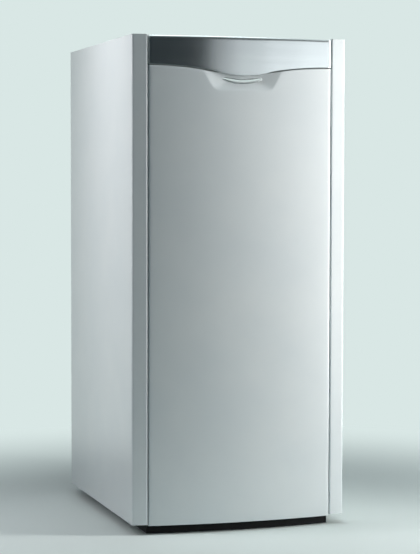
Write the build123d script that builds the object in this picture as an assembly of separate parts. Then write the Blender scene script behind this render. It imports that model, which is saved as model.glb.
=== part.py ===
from build123d import *
import os
from math import sqrt

# Floor-standing oil condensing boiler. Millimetres, X to the right, Y to the back, Z up,
# with the origin on the floor under the middle of the casing.

# Overall size of the casing
WIDTH = 570.0
DEPTH = 691.0
HEIGHT = 1257.0
FRONT_BULGE = 25.0

# Sheet metal and general clearances
SHEET = 1.5
FRAME_SHEET = 2.0
OVERRUN = 5.0
RUNNING_GAP = 0.05
FIXED_GAP = 0.1
SOFT_GAP = 0.5
MOVING_GAP = 0.3

# Casing
STILE_WIDTH = 39.5
STILE_RETURN = 15.0
CORNER_RADIUS = 6.0
BEND_RADIUS = 3.0
REAR_RETURN = 20.0
BOTTOM_FLANGE = 15.0
SIDE_FRONT_GAP = 4.0
COVER_DEPTH = 16.0
COVER_BOTTOM = 23.0
SEAM_GAP = 3.6
FLAP_TOP_DROP = 2.0
LID_GAP = 1.5
LID_FLANGE = 20.0
LID_FRONT_SETBACK = 63.5
REAR_RECESS = 43.5

# Base ring, tray and feet
BASE_LIFT = 1.5
BASE_HEIGHT = 26.0
BASE_INSET = 41.0
BASE_FRONT_INSET = 20.0
BASE_REAR_INSET = 45.5
TRAY_SIDE_GAP = 0.5
TRAY_UPSTAND = 32.0
FOOT_RADIUS = 20.0
FOOT_THICKNESS = 8.0
FOOT_STUD_RADIUS = 5.0
FOOT_STUD_LENGTH = 50.0
FOOT_NUT_RADIUS = 10.0
FOOT_NUT_LENGTH = 12.0
FOOT_SIDE_INSET = 80.0
FOOT_FRONT_INSET = 75.0
FOOT_REAR_INSET = 85.0
FOOT_NAMES = ("front_left_foot", "front_right_foot", "rear_left_foot", "rear_right_foot")

# Frame posts and rails
FRAME_FRONT_INSET = 40.5
POST_WIDTH = 34.0
POST_DEPTH = 45.0
REAR_POST_DEPTH = 30.0
TOP_RAIL_DEPTH = 20.0
TOP_RAIL_HEIGHT = 10.0
CROSS_RAIL_TOP_DROP = 107.0
CROSS_RAIL_HEIGHT = 30.0
CROSS_RAIL_DEPTH = 28.0

# Flap hinge
HINGE_SETBACK = 45.5
HINGE_DROP = 10.0
HINGE_PIN_RADIUS = 3.0
HINGE_EAR_RADIUS = 8.0
HINGE_EAR_WIDTH = 7.0
HINGE_BRACKET_WIDTH = 5.0
HINGE_BRACKET_HEIGHT = 24.0
HINGE_BRACKET_DEPTH = 15.0
HINGE_SIDE_GAP = 1.5
FLAP_FLANGE_REACH = 14.0

# Seam between flap and cover, with its tongue, as drops below the top of the casing
SEAM_EDGE_DROP = 74.0
SEAM_MIDDLE_X = 168.0
SEAM_MIDDLE_DROP = 77.0
TONGUE_HALF_WIDTH = 79.0
TONGUE_TOP_DROP = 88.0
TONGUE_BOTTOM_DROP = 100.0
TONGUE_LIP = 6.0
FINGER_HALF_WIDTH = 95.0
FINGER_HEIGHT = 28.0

# Grip scoop pressed into the front cover
SCOOP_DEPTH = 20.0
SCOOP_TOP_DROP = 72.0
SCOOP_BOTTOM_DROP = 140.5
SCOOP_TOP_HALF = 128.0
SCOOP_BOTTOM_HALF = 71.0
SCOOP_CORNER_RADIUS = 36.0
SCOOP_FLOOR_TOP_HALF = 66.0
SCOOP_FLOOR_BOTTOM_HALF = 58.0
SCOOP_FLOOR_RISE = 25.5
SCOOP_FLOOR_RADIUS = 24.0
SCOOP_PROUD = 1.0
LIP_RADIUS = 4.5
LIP_HALF_WIDTH = 56.0
LIP_END_DROP = 103.5
LIP_MIDDLE_DROP = 115.0
LIP_DEPTH = 14.5

# Ball catches that hold the front cover
CATCH_INSET = 19.5
CATCH_BALL_RADIUS = 5.0
CATCH_NECK_RADIUS = 2.5
CATCH_LENGTH = 15.0
CATCH_SOCKET_WALL = 3.0
CATCH_SOCKET_DEPTH = 8.0

# Control console behind the flap
CONSOLE_SIDE_GAP = 9.5
CONSOLE_HEIGHT = 75.0
CONSOLE_DEPTH = 100.0
CONSOLE_WALL = 2.5
CONSOLE_SETBACK = 0.5
CONTROL_Z_RISE = 53.0
CONTROL_EDGE = 2.0

# Knobs, buttons, window, switch and gauge, with their places across the console
HEATING_KNOB_SHARE = -0.37
HOT_WATER_KNOB_SHARE = 0.64
KNOB_RADIUS = 15.0
KNOB_HEIGHT = 9.0
KNOB_GRIP_WIDTH = 5.0
KNOB_GRIP_HEIGHT = 5.0
KNOB_SHAFT_RADIUS = 3.0
KNOB_SHAFT_LENGTH = 14.0
BUTTON_START_SHARE = 0.24
BUTTON_PITCH = 14.0
BUTTON_RADIUS = 4.5
BUTTON_PROUD = 3.0
BUTTON_FLANGE = 1.5
BUTTON_FLANGE_THICKNESS = 1.5
RESET_BUTTON_SHARE = 0.855
RESET_BUTTON_RADIUS = 7.0
WINDOW_SHARE = -0.02
WINDOW_HALF = 38.0
WINDOW_HEIGHT = 27.0
WINDOW_BORDER = 2.0
SWITCH_SHARE = -0.58
SWITCH_HALF = 9.0
SWITCH_HEIGHT = 25.0
SWITCH_ROOM = 2.5
SWITCH_SIDE_ROOM = 0.5
SWITCH_PROUD = 3.0
SWITCH_BACK = 7.0
SWITCH_PIN_RADIUS = 1.5
SWITCH_TILT = 8.0
SWITCH_CASE_DEPTH = 24.0
GAUGE_SHARE = -0.81
GAUGE_RADIUS = 17.0
GAUGE_BEZEL = 3.0
GAUGE_BEZEL_THICKNESS = 3.0
GAUGE_LENGTH = 22.0
GAUGE_WALL = 2.0
GAUGE_DIAL_DEPTH = 8.0
GAUGE_LENS_THICKNESS = 1.5
POINTER_PIN_RADIUS = 1.0
POINTER_PIN_LENGTH = 8.0
POINTER_HUB_RADIUS = 2.5
POINTER_LENGTH = 11.0
POINTER_WIDTH = 1.4
POINTER_THICKNESS = 1.0
POINTER_REST_TURN = 35.0
BUTTON_NAMES = ("menu_button", "minus_button", "plus_button", "enter_button")

# Boiler vessel, combustion chamber and burner door
INSULATION = 25.0
VESSEL_WALL = 3.0
BURNER_ROOM = 225.5
VESSEL_BACK_GAP = 45.0
VESSEL_RISE_SHARE = 0.0716
WATER_GAP = 47.0
CHAMBER_WALL = 2.5
CHAMBER_BACK_GAP = 60.0
CHAMBER_FLANGE_WIDTH = 24.0
CHAMBER_FLANGE_THICKNESS = 2.0
DOOR_THICKNESS = 12.0
DOOR_BOLT_COUNT = 6
DOOR_BOLT_INSET = 11.0
DOOR_BOLT_RADIUS = 4.0
DOOR_BOLT_HEAD_RADIUS = 7.0
DOOR_BOLT_HEAD = 5.0
JACKET_SIDE_GAP = 12.0
JACKET_INSET = 5.0

# Stand for the vessel and the condensing heat exchanger
STAND_SIDE_INSET = 15.0
STAND_LEG = 20.0
STAND_TOP_DROP = 120.0
STAND_FRONT_SETBACK = 30.0
STAND_REAR_SETBACK = 40.0
STAND_BAR = 25.0
EXCHANGER_SIDE_GAP = 15.0
EXCHANGER_FRONT_SETBACK = 10.0
EXCHANGER_BACK_GAP = 17.0
EXCHANGER_BOTTOM_SHARE = 0.2307
EXCHANGER_HEIGHT_SHARE = 0.19093
EXCHANGER_WALL = 5.0

# Flue and air duct
CONNECTING_FLUE_RADIUS = 45.0
CONNECTING_FLUE_X = -60.0
CONNECTING_FLUE_DROP = 50.0
CONNECTING_FLUE_SETBACK = 50.0
CONNECTING_FLUE_BEND = 46.0
FLUE_RADIUS = 40.0
RISER_RADIUS = 37.5
FLUE_WALL = 1.0
FLUE_OUTER_RADIUS = 62.5
FLUE_OUTER_WALL = 1.5
FLUE_REAR_INSET = 120.5
RISER_X = 75.0
RISER_OFFSET_DROP = 140.0
RISER_BEND = 60.0
ADAPTER_HEIGHT = 86.0
ADAPTER_SOCKET = 66.0
ADAPTER_TOP_DROP = 1.0
AIR_PORT_DROP = 52.0
AIR_PORT_LENGTH = 20.0
DUCT_RADIUS = 30.0
DUCT_WALL = 1.5
DUCT_SIDE_GAP = 11.5
DUCT_DROP = 50.0
DUCT_BEND = 45.0

# Burner
BURNER_REACH = 95.0
BURNER_DROP = 25.0
BURNER_RADIUS = 72.0
BURNER_HALF = 50.0
BURNER_WALL = 3.0
BLAST_RADIUS = 45.0
BLAST_WALL = 2.0
BLAST_LENGTH = 90.0
SNOUT_FLANGE_RADIUS = 62.0
SNOUT_FLANGE = 5.0
AIR_INLET_RADIUS = 34.0
AIR_INLET_DROP = 140.0
AIR_INLET_STEP = 13.0
DAMPER_CLEARANCE = 2.0
DAMPER_GAP = 0.5
DAMPER_THICKNESS = 1.5
DAMPER_SPINDLE_RADIUS = 3.0
DAMPER_LEVER_LENGTH = 22.0
DAMPER_LEVER_THICKNESS = 3.0
FAN_RADIUS = 58.0
FAN_WIDTH = 64.0
FAN_PLATE = 2.0
FAN_BLADE_COUNT = 24
FAN_BLADE_DEPTH = 12.0
FAN_BLADE_THICKNESS = 1.5
FAN_HUB_RADIUS = 12.0
SHAFT_RADIUS = 6.0
SHAFT_HOLE_GAP = 1.0
MOTOR_RADIUS = 45.0
MOTOR_LENGTH = 92.0
MOTOR_BLIND = 4.0
MOTOR_EDGE = 8.0
PUMP_RADIUS = 28.0
PUMP_LENGTH = 55.0
PUMP_BLIND = 8.0
NOZZLE_ROD_RADIUS = 5.0
NOZZLE_LENGTH = 74.0
NOZZLE_HEAD_RADIUS = 10.0
NOZZLE_HEAD_LENGTH = 14.0
BAFFLE_THICKNESS = 2.0
BAFFLE_SLOTS = 8
BAFFLE_SLOT_INNER = 16.0
BAFFLE_SLOT_LENGTH = 20.0
BAFFLE_SLOT_WIDTH = 3.0
IGNITION_HALF = 33.0
IGNITION_DEPTH = 56.0
IGNITION_HEIGHT = 44.0
IGNITION_PAD = 4.0

# Water, oil and condensate
PIPE_RADIUS = 14.0
PIPE_WALL = 1.5
PIPE_THREAD_RADIUS = 16.6
PIPE_THREAD_LENGTH = 22.0
PIPE_END_INSET = 5.5
PANEL_HOLE_GAP = 1.5
FLOW_INSET = 70.0
FLOW_RISE = 110.0
RETURN_INSET = 40.0
RETURN_RISE = 40.0
LINK_SHARE = 0.5
OIL_RADIUS = 4.0
OIL_WALL = 1.0
OIL_BEND = 15.0
OIL_END_RADIUS = 6.0
OIL_END_LENGTH = 20.0
OIL_SIDE_GAP = 68.5
OIL_RISE = 10.0
FILTER_RISE = 140.0
FILTER_HEAD = 40.0
FILTER_HEAD_HEIGHT = 30.0
FILTER_BOWL_RADIUS = 18.0
FILTER_BOWL_LENGTH = 60.0
FILTER_BRACKET = 4.0
FILTER_BOWL_EDGE = 8.0
OIL_TURN_DROP = 95.0
SIPHON_SETBACK = 210.0
SIPHON_NECK_RADIUS = 16.0
SIPHON_NECK_LENGTH = 40.0
SIPHON_CUP_RADIUS = 30.0
SIPHON_CUP_HEIGHT = 95.0
SIPHON_WALL = 2.5
SIPHON_EDGE = 8.0
CONDENSATE_RADIUS = 9.0
CONDENSATE_NOZZLE_RADIUS = 10.0
CONDENSATE_NOZZLE_LENGTH = 30.0
CONDENSATE_DROP = 25.0
DRAIN_INSET = 40.0
DRAIN_RISE = 22.0
DRAIN_RADIUS = 10.0
DRAIN_LENGTH = 50.0
DRAIN_BODY = 22.0
DRAIN_SPINDLE_RADIUS = 3.0
DRAIN_SPINDLE_LENGTH = 10.0
DRAIN_LEVER_HUB = 7.0
DRAIN_LEVER_LENGTH = 42.0
DRAIN_LEVER_WIDTH = 9.0
DRAIN_LEVER_THICKNESS = 3.0
GLAND_SIDE_GAP = 68.5
GLAND_DROP = 157.0
GLAND_RADIUS = 12.0
GLAND_BORE = 5.0
GLAND_LENGTH = 24.0
GLAND_NUT_REACH = 5.0
GLAND_NUT_THICKNESS = 5.0

# Places worked out from the sizes above
FRONT_Y = -DEPTH / 2
BACK_Y = DEPTH / 2
SIDE_X = WIDTH / 2
CORNER_Y = FRONT_Y + FRONT_BULGE
FRONT_RADIUS = (SIDE_X ** 2 + FRONT_BULGE ** 2) / (2 * FRONT_BULGE)
TRAY_Z = BASE_LIFT + BASE_HEIGHT
TRAY_TOP = TRAY_Z + FRAME_SHEET
STILE_X = SIDE_X - STILE_WIDTH
COVER_HALF = STILE_X - SIDE_FRONT_GAP
INNER_X = SIDE_X - SHEET
FRAME_X = INNER_X - LID_GAP
FRAME_FRONT = FRONT_Y + FRAME_FRONT_INSET
FRAME_TOP = HEIGHT - LID_FLANGE
REAR_PLANE = BACK_Y - REAR_RECESS
LID_FRONT = FRONT_Y + LID_FRONT_SETBACK
FLAP_TOP = HEIGHT - FLAP_TOP_DROP
HINGE_Y = FRONT_Y + HINGE_SETBACK
HINGE_Z = HEIGHT - HINGE_DROP
POST_X = FRAME_X - POST_WIDTH
CROSS_RAIL_TOP = HEIGHT - CROSS_RAIL_TOP_DROP
SEAM_EDGE_Z = HEIGHT - SEAM_EDGE_DROP
SEAM_MIDDLE_Z = HEIGHT - SEAM_MIDDLE_DROP
TONGUE_TOP_Z = HEIGHT - TONGUE_TOP_DROP
TONGUE_BOTTOM_Z = HEIGHT - TONGUE_BOTTOM_DROP
SCOOP_TOP_Z = HEIGHT - SCOOP_TOP_DROP
SCOOP_BOTTOM_Z = HEIGHT - SCOOP_BOTTOM_DROP
LIP_END_Z = HEIGHT - LIP_END_DROP
LIP_MIDDLE_Z = HEIGHT - LIP_MIDDLE_DROP
CATCH_X = COVER_HALF - CATCH_INSET
CATCH_TOP_Z = CROSS_RAIL_TOP - CROSS_RAIL_HEIGHT / 2
CATCH_LOW_Z = TRAY_TOP + TRAY_UPSTAND * 2 / 3
CONSOLE_HALF = COVER_HALF - CONSOLE_SIDE_GAP
HEATING_KNOB_X = CONSOLE_HALF * HEATING_KNOB_SHARE
HOT_WATER_KNOB_X = CONSOLE_HALF * HOT_WATER_KNOB_SHARE
BUTTON_START_X = CONSOLE_HALF * BUTTON_START_SHARE
RESET_BUTTON_X = CONSOLE_HALF * RESET_BUTTON_SHARE
WINDOW_X = CONSOLE_HALF * WINDOW_SHARE
SWITCH_X = CONSOLE_HALF * SWITCH_SHARE
GAUGE_X = CONSOLE_HALF * GAUGE_SHARE
CONSOLE_FRONT = FRAME_FRONT + CONSOLE_SETBACK
CONSOLE_TOP = CROSS_RAIL_TOP + CONSOLE_HEIGHT
FASCIA_FRONT = CONSOLE_FRONT - CONSOLE_WALL
CONTROL_Z = CROSS_RAIL_TOP + CONTROL_Z_RISE
SWITCH_PIVOT_Y = CONSOLE_FRONT + CONSOLE_WALL
GAUGE_FRONT = FASCIA_FRONT - GAUGE_BEZEL_THICKNESS
DIAL_Y = GAUGE_FRONT + GAUGE_DIAL_DEPTH
DUCT_X = DUCT_SIDE_GAP + DUCT_RADIUS - INNER_X
JACKET_RADIUS = -DUCT_X - DUCT_RADIUS - JACKET_SIDE_GAP
VESSEL_RADIUS = JACKET_RADIUS - INSULATION
CHAMBER_RADIUS = VESSEL_RADIUS - WATER_GAP
CHAMBER_FLANGE_RADIUS = CHAMBER_RADIUS + CHAMBER_FLANGE_WIDTH
DOOR_BOLT_CIRCLE = CHAMBER_FLANGE_RADIUS - DOOR_BOLT_INSET
FLUE_Y = BACK_Y - FLUE_REAR_INSET
VESSEL_FRONT = FRONT_Y + BURNER_ROOM
VESSEL_BACK = FLUE_Y - VESSEL_BACK_GAP
VESSEL_LENGTH = VESSEL_BACK - VESSEL_FRONT
CHAMBER_LENGTH = VESSEL_LENGTH - CHAMBER_BACK_GAP
DOOR_FRONT = VESSEL_FRONT - CHAMBER_FLANGE_THICKNESS - DOOR_THICKNESS
EXCHANGER_BOTTOM = HEIGHT * EXCHANGER_BOTTOM_SHARE
EXCHANGER_TOP = EXCHANGER_BOTTOM + HEIGHT * EXCHANGER_HEIGHT_SHARE
VESSEL_Z = EXCHANGER_TOP + HEIGHT * VESSEL_RISE_SHARE + JACKET_RADIUS
STAND_HALF = JACKET_RADIUS - STAND_SIDE_INSET
STAND_TOP = VESSEL_Z - STAND_TOP_DROP
EXCHANGER_HALF = STAND_HALF - STAND_LEG - EXCHANGER_SIDE_GAP
EXCHANGER_FRONT = VESSEL_FRONT + EXCHANGER_FRONT_SETBACK
EXCHANGER_BACK = REAR_PLANE - EXCHANGER_BACK_GAP
LINK_Y = VESSEL_FRONT + VESSEL_LENGTH * LINK_SHARE
CONNECTING_FLUE_Y = VESSEL_BACK + CONNECTING_FLUE_SETBACK
CONNECTING_FLUE_Z = VESSEL_Z - CONNECTING_FLUE_DROP
ADAPTER_TOP = HEIGHT - ADAPTER_TOP_DROP
ADAPTER_BOTTOM = ADAPTER_TOP - ADAPTER_HEIGHT
AIR_PORT_Z = HEIGHT - AIR_PORT_DROP
BURNER_Y = VESSEL_FRONT - BURNER_REACH
BURNER_Z = VESSEL_Z - BURNER_DROP
AIR_INLET_BOTTOM = BURNER_Z - AIR_INLET_DROP
DAMPER_Z = AIR_INLET_BOTTOM + AIR_INLET_STEP + AIR_INLET_RADIUS - BLAST_WALL + DAMPER_CLEARANCE
DUCT_LOW_Z = AIR_INLET_BOTTOM - DUCT_DROP
OIL_X = INNER_X - OIL_SIDE_GAP
OIL_Z = EXCHANGER_BOTTOM + OIL_RISE
OIL_TURN_Z = BURNER_Z - OIL_TURN_DROP
FILTER_Z = EXCHANGER_BOTTOM + FILTER_RISE
GLAND_X = GLAND_SIDE_GAP - INNER_X
GLAND_Z = HEIGHT - GLAND_DROP
FLOW_X = FLOW_INSET - VESSEL_RADIUS
RETURN_X = RETURN_INSET - EXCHANGER_HALF
DRAIN_X = DRAIN_INSET - EXCHANGER_HALF
SIPHON_Y = EXCHANGER_FRONT + SIPHON_SETBACK
PIPE_END = BACK_Y - PIPE_END_INSET
FLOW_Z = VESSEL_Z + FLOW_RISE
RETURN_Z = EXCHANGER_BOTTOM + RETURN_RISE
DRAIN_Z = EXCHANGER_BOTTOM + DRAIN_RISE
SIPHON_CUP_TOP = EXCHANGER_BOTTOM - SIPHON_NECK_LENGTH
CONDENSATE_Z = SIPHON_CUP_TOP - CONDENSATE_DROP
REAR_HOLES = (
    (FLOW_X, FLOW_Z, PIPE_THREAD_RADIUS + PANEL_HOLE_GAP),
    (RETURN_X, RETURN_Z, PIPE_THREAD_RADIUS + PANEL_HOLE_GAP),
    (OIL_X, OIL_Z, OIL_END_RADIUS + PANEL_HOLE_GAP),
    (0, CONDENSATE_Z, CONDENSATE_NOZZLE_RADIUS + PANEL_HOLE_GAP),
    (GLAND_X, GLAND_Z, GLAND_RADIUS),
)


# Shapes that many pieces use

def block(x_limits, y_limits, z_limits):
    """A box between a low and a high limit along each axis."""
    limits = (x_limits, y_limits, z_limits)
    sizes = [high - low for low, high in limits]
    middle = [(low + high) / 2 for low, high in limits]
    return Pos(*middle) * Box(*sizes)


def rod(radius, start, direction, length):
    """A round bar from a point along a direction."""
    return extrude(Plane(origin=start, z_dir=direction) * Circle(radius), amount=length)


def tube(radius, wall, start, direction, length):
    """A straight tube of an outer radius and a wall."""
    ring = Circle(radius) - Circle(radius - wall)
    return extrude(Plane(origin=start, z_dir=direction) * ring, amount=length)


def bent_tube(radius, wall, points, bend):
    """A tube along straight runs joined by bends of one radius."""
    path = FilletPolyline(*points, radius=bend)
    section = Circle(radius) - Circle(radius - wall)
    return sweep(Plane(origin=path @ 0, z_dir=path % 0) * section, path=path)


def mirrored(shape):
    """The same shape on the other side of the middle plane."""
    return mirror(shape, about=Plane.YZ)


def both_sides(shape):
    """A shape and its mirror image, as separate solids."""
    return shape.solids() + mirrored(shape).solids()


def group(solids):
    """Separate solids in one node."""
    return Compound(list(solids))


def front_y(x, inset=0):
    """How far forward the curved front reaches at a place across the width."""
    radius = FRONT_RADIUS - inset
    return FRONT_Y + FRONT_RADIUS - sqrt(radius ** 2 - x ** 2)


def behind_front(half_width, inset, back, low, high, corner=0):
    """What lies behind the curved front, moved back by an inset, up to a plane."""
    left = (-half_width, front_y(half_width, inset))
    right = (half_width, front_y(half_width, inset))
    curve = ThreePointArc(left, (0, FRONT_Y + inset), right)
    sides = Polyline(right, (half_width, back), (-half_width, back), left)
    plan = make_face(curve + sides)
    if corner:
        corners = plan.vertices().filter_by(lambda v: v.Y < back - OVERRUN)
        plan = fillet(corners, corner)
    return extrude(Pos(0, 0, low) * plan, amount=high - low)


def facing(outline, back=BACK_Y):
    """An outline seen from the front, made solid through the depth of the casing."""
    start = FRONT_Y - OVERRUN
    return extrude(Plane.XZ.offset(-back) * make_face(outline), amount=back - start)


def seam_outline(drop, far_z):
    """The area from the seam, lowered by a drop, to a level edge far above or below it."""
    edge = (COVER_HALF + OVERRUN, SEAM_EDGE_Z - drop)
    shoulder = (TONGUE_HALF_WIDTH, TONGUE_TOP_Z - drop)
    middle = (SEAM_MIDDLE_X, SEAM_MIDDLE_Z - drop)
    right = ThreePointArc(edge, middle, shoulder)
    left = mirror(right, about=Plane.YZ)
    tongue = ThreePointArc(shoulder, (0, TONGUE_BOTTOM_Z - drop), (-shoulder[0], shoulder[1]))
    sides = Polyline((-edge[0], edge[1]), (-edge[0], far_z), (edge[0], far_z), edge)
    return right + tongue + left + sides


# Casing

def side_panel():
    """The right side: one folded sheet with the front stile and the rear return."""
    stile_front = front_y(STILE_X)
    path = FilletPolyline(
        (STILE_X, stile_front + STILE_RETURN),
        (STILE_X, stile_front),
        (SIDE_X, CORNER_Y),
        (SIDE_X, BACK_Y),
        (SIDE_X - REAR_RETURN, BACK_Y),
        radius=[BEND_RADIUS, CORNER_RADIUS, BEND_RADIUS],
    )
    wall = make_face(offset(path, amount=SHEET, side=Side.LEFT))
    low = TRAY_Z - SHEET
    panel = extrude(Pos(0, 0, low) * wall, amount=HEIGHT - low)
    flange = block(
        (SIDE_X - BOTTOM_FLANGE, INNER_X),
        (CORNER_Y + BOTTOM_FLANGE, BACK_Y - BOTTOM_FLANGE),
        (low, TRAY_Z),
    )
    rear = LID_FRONT - LID_GAP
    cap = behind_front(SIDE_X, BEND_RADIUS, rear, HEIGHT - SHEET, HEIGHT)
    cap &= block((STILE_X, INNER_X), (FRONT_Y, rear), (0, HEIGHT))
    return panel + flange + cap


def formed_front(low, high, outline, inner_outline):
    """A curved sheet with its edges folded back, between two outlines seen from the front."""
    rear = FRONT_RADIUS
    outer = behind_front(COVER_HALF, 0, rear, low, high, BEND_RADIUS)
    outer -= behind_front(COVER_HALF + OVERRUN, COVER_DEPTH, rear + OVERRUN, low, high)
    hollow_low, hollow_high = low - OVERRUN, high + OVERRUN
    hollow = behind_front(
        COVER_HALF - SHEET, SHEET, rear, hollow_low, hollow_high, BEND_RADIUS - SHEET
    )
    return (outer & outline) - (hollow & inner_outline)


def scoop(growth, depth):
    """The grip scoop as a tapered block, grown by a wall and sunk to a depth."""
    front = FRONT_Y - SCOOP_PROUD
    back = FRONT_Y + depth
    floor_z = SCOOP_BOTTOM_Z + SCOOP_FLOOR_RISE - growth
    mouth = FilletPolyline(
        (-SCOOP_TOP_HALF - growth, SCOOP_TOP_Z),
        (-SCOOP_BOTTOM_HALF - growth, SCOOP_BOTTOM_Z - growth),
        (SCOOP_BOTTOM_HALF + growth, SCOOP_BOTTOM_Z - growth),
        (SCOOP_TOP_HALF + growth, SCOOP_TOP_Z),
        radius=SCOOP_CORNER_RADIUS,
    )
    floor = FilletPolyline(
        (-SCOOP_FLOOR_TOP_HALF - growth, SCOOP_TOP_Z),
        (-SCOOP_FLOOR_BOTTOM_HALF - growth, floor_z),
        (SCOOP_FLOOR_BOTTOM_HALF + growth, floor_z),
        (SCOOP_FLOOR_TOP_HALF + growth, SCOOP_TOP_Z),
        radius=SCOOP_FLOOR_RADIUS,
    )
    faces = []
    for outline, y in ((mouth, front), (floor, back)):
        closed = make_face(outline + Line(outline @ 1, outline @ 0))
        faces.append((Plane.XZ.offset(-y) * closed).faces()[0])
    return loft(faces)


def grip_lip():
    """The raised lip across the scoop that the fingers rest on."""
    y = FRONT_Y + LIP_DEPTH
    ends = [(side * LIP_HALF_WIDTH, y, LIP_END_Z) for side in (-1, 1)]
    path = ThreePointArc(ends[0], (0, y, LIP_MIDDLE_Z), ends[1])
    lip = sweep(Plane(origin=path @ 0, z_dir=path % 0) * Circle(LIP_RADIUS), path=path)
    for end in ends:
        lip += Pos(*end) * Sphere(LIP_RADIUS)
    return lip


def front_cover():
    """The lift-off cover with its pressed scoop."""
    outline = facing(seam_outline(SEAM_GAP, COVER_BOTTOM))
    inner = facing(seam_outline(SEAM_GAP + SHEET, COVER_BOTTOM + SHEET))
    cover = formed_front(COVER_BOTTOM, SEAM_EDGE_Z, outline, inner)
    pressed = scoop(SHEET, SCOOP_DEPTH + SHEET) + grip_lip()
    rear = BACK_Y
    pressed &= behind_front(COVER_HALF, 0, rear, COVER_BOTTOM, SEAM_EDGE_Z)
    pressed &= outline
    void = scoop(0, SCOOP_DEPTH) - grip_lip()
    return cover - void + (pressed - void)


def control_flap():
    """The hinged flap with its tongue, its top flange and its hinge ears."""
    outline = facing(seam_outline(0, HEIGHT))
    inner = facing(seam_outline(-SHEET, HEIGHT))
    low = TONGUE_BOTTOM_Z - OVERRUN
    outer = behind_front(COVER_HALF, 0, FRONT_RADIUS, low, FLAP_TOP, BEND_RADIUS)
    outer -= behind_front(COVER_HALF + OVERRUN, COVER_DEPTH, FRONT_RADIUS * 2, low, FLAP_TOP)
    hollow = behind_front(
        COVER_HALF - SHEET, SHEET, FRONT_RADIUS, low, FLAP_TOP - SHEET, BEND_RADIUS - SHEET
    )
    flap = (outer & outline) - (hollow & inner)
    rear = HINGE_Y + FLAP_FLANGE_REACH
    top = behind_front(COVER_HALF, SHEET, rear, FLAP_TOP - SHEET, FLAP_TOP)
    flap += top
    flap -= block(
        (-FINGER_HALF_WIDTH, FINGER_HALF_WIDTH),
        (FRONT_Y + TONGUE_LIP, HINGE_Y),
        (low, TONGUE_BOTTOM_Z + FINGER_HEIGHT),
    )
    ear = block(
        (COVER_HALF - SHEET, COVER_HALF),
        (CORNER_Y, rear),
        (HINGE_Z - HINGE_EAR_RADIUS, FLAP_TOP),
    )
    boss_start = (COVER_HALF - HINGE_EAR_WIDTH, HINGE_Y, HINGE_Z)
    ear += rod(HINGE_EAR_RADIUS, boss_start, (1, 0, 0), HINGE_EAR_WIDTH)
    ear &= block((0, COVER_HALF), (CORNER_Y, rear), (0, FLAP_TOP))
    flap += ear
    flap += mirrored(ear)
    hole_start = (-SIDE_X, HINGE_Y, HINGE_Z)
    flap -= rod(HINGE_PIN_RADIUS + RUNNING_GAP, hole_start, (1, 0, 0), WIDTH)
    return flap


def catch_points():
    """The four places where the front cover clips on."""
    return [(x, z) for z in (CATCH_TOP_Z, CATCH_LOW_Z) for x in (-CATCH_X, CATCH_X)]


def catch_sockets():
    """The clips on the back of the front cover."""
    bore = CATCH_BALL_RADIUS + MOVING_GAP
    sheet_back = front_y(CATCH_X, SHEET)
    solids = []
    for x, z in catch_points():
        start = (x, FRONT_Y, z)
        length = sheet_back + CATCH_SOCKET_DEPTH + CATCH_SOCKET_WALL - FRONT_Y
        socket = rod(bore + CATCH_SOCKET_WALL, start, (0, 1, 0), length)
        socket &= behind_front(COVER_HALF, SHEET, BACK_Y, 0, HEIGHT)
        bore_start = (x, sheet_back + CATCH_SOCKET_WALL, z)
        socket -= rod(bore, bore_start, (0, 1, 0), DEPTH)
        solids += socket.solids()
    return group(solids)


def catch_studs():
    """The ball studs on the frame that the clips snap over."""
    ball_y = FRAME_FRONT - CATCH_LENGTH
    solids = []
    for x, z in catch_points():
        seat = FRAME_FRONT + FRAME_SHEET if z == CATCH_TOP_Z else FRAME_FRONT
        if z == CATCH_LOW_Z:
            seat -= FRAME_SHEET
        stud = Pos(x, ball_y, z) * Sphere(CATCH_BALL_RADIUS)
        stud += rod(CATCH_NECK_RADIUS, (x, ball_y, z), (0, 1, 0), seat - ball_y)
        solids += stud.solids()
    return group(solids)


def top_cover():
    """The lid between the side panels, with its folded edges and the flue hole."""
    half = FRAME_X
    back = BACK_Y - LID_GAP - SHEET
    lid = block((-half, half), (LID_FRONT, back), (FRAME_TOP, HEIGHT))
    lid -= block(
        (-half + SHEET, half - SHEET),
        (LID_FRONT + SHEET, back - SHEET),
        (FRAME_TOP - OVERRUN, HEIGHT - SHEET),
    )
    return lid - rod(FLUE_OUTER_RADIUS + LID_GAP, (0, FLUE_Y, 0), (0, 0, 1), HEIGHT + OVERRUN)


def rear_panel():
    """The recessed back plate with holes for the connections."""
    panel = block((-FRAME_X, FRAME_X), (REAR_PLANE, REAR_PLANE + SHEET), (TRAY_TOP, FRAME_TOP))
    for x, z, radius in REAR_HOLES:
        start = (x, REAR_PLANE - OVERRUN, z)
        panel -= rod(radius, start, (0, 1, 0), OVERRUN * 2 + SHEET)
    return panel


# Base, frame and feet

def base_ring():
    """The black sheet skirt between the floor and the tray, open inside."""
    half = SIDE_X - BASE_INSET
    back = BACK_Y - BASE_REAR_INSET
    outer = behind_front(half, BASE_FRONT_INSET, back, BASE_LIFT, TRAY_Z)
    inner_low, inner_high = BASE_LIFT - OVERRUN, TRAY_Z + OVERRUN
    inner = behind_front(
        half - FRAME_SHEET,
        BASE_FRONT_INSET + FRAME_SHEET,
        back - FRAME_SHEET,
        inner_low,
        inner_high,
    )
    return outer - inner


def foot_points():
    """The four places of the levelling feet."""
    ys = (FRONT_Y + FOOT_FRONT_INSET, BACK_Y - FOOT_REAR_INSET)
    xs = (FOOT_SIDE_INSET - SIDE_X, SIDE_X - FOOT_SIDE_INSET)
    return [(x, y) for y in ys for x in xs]


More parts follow.
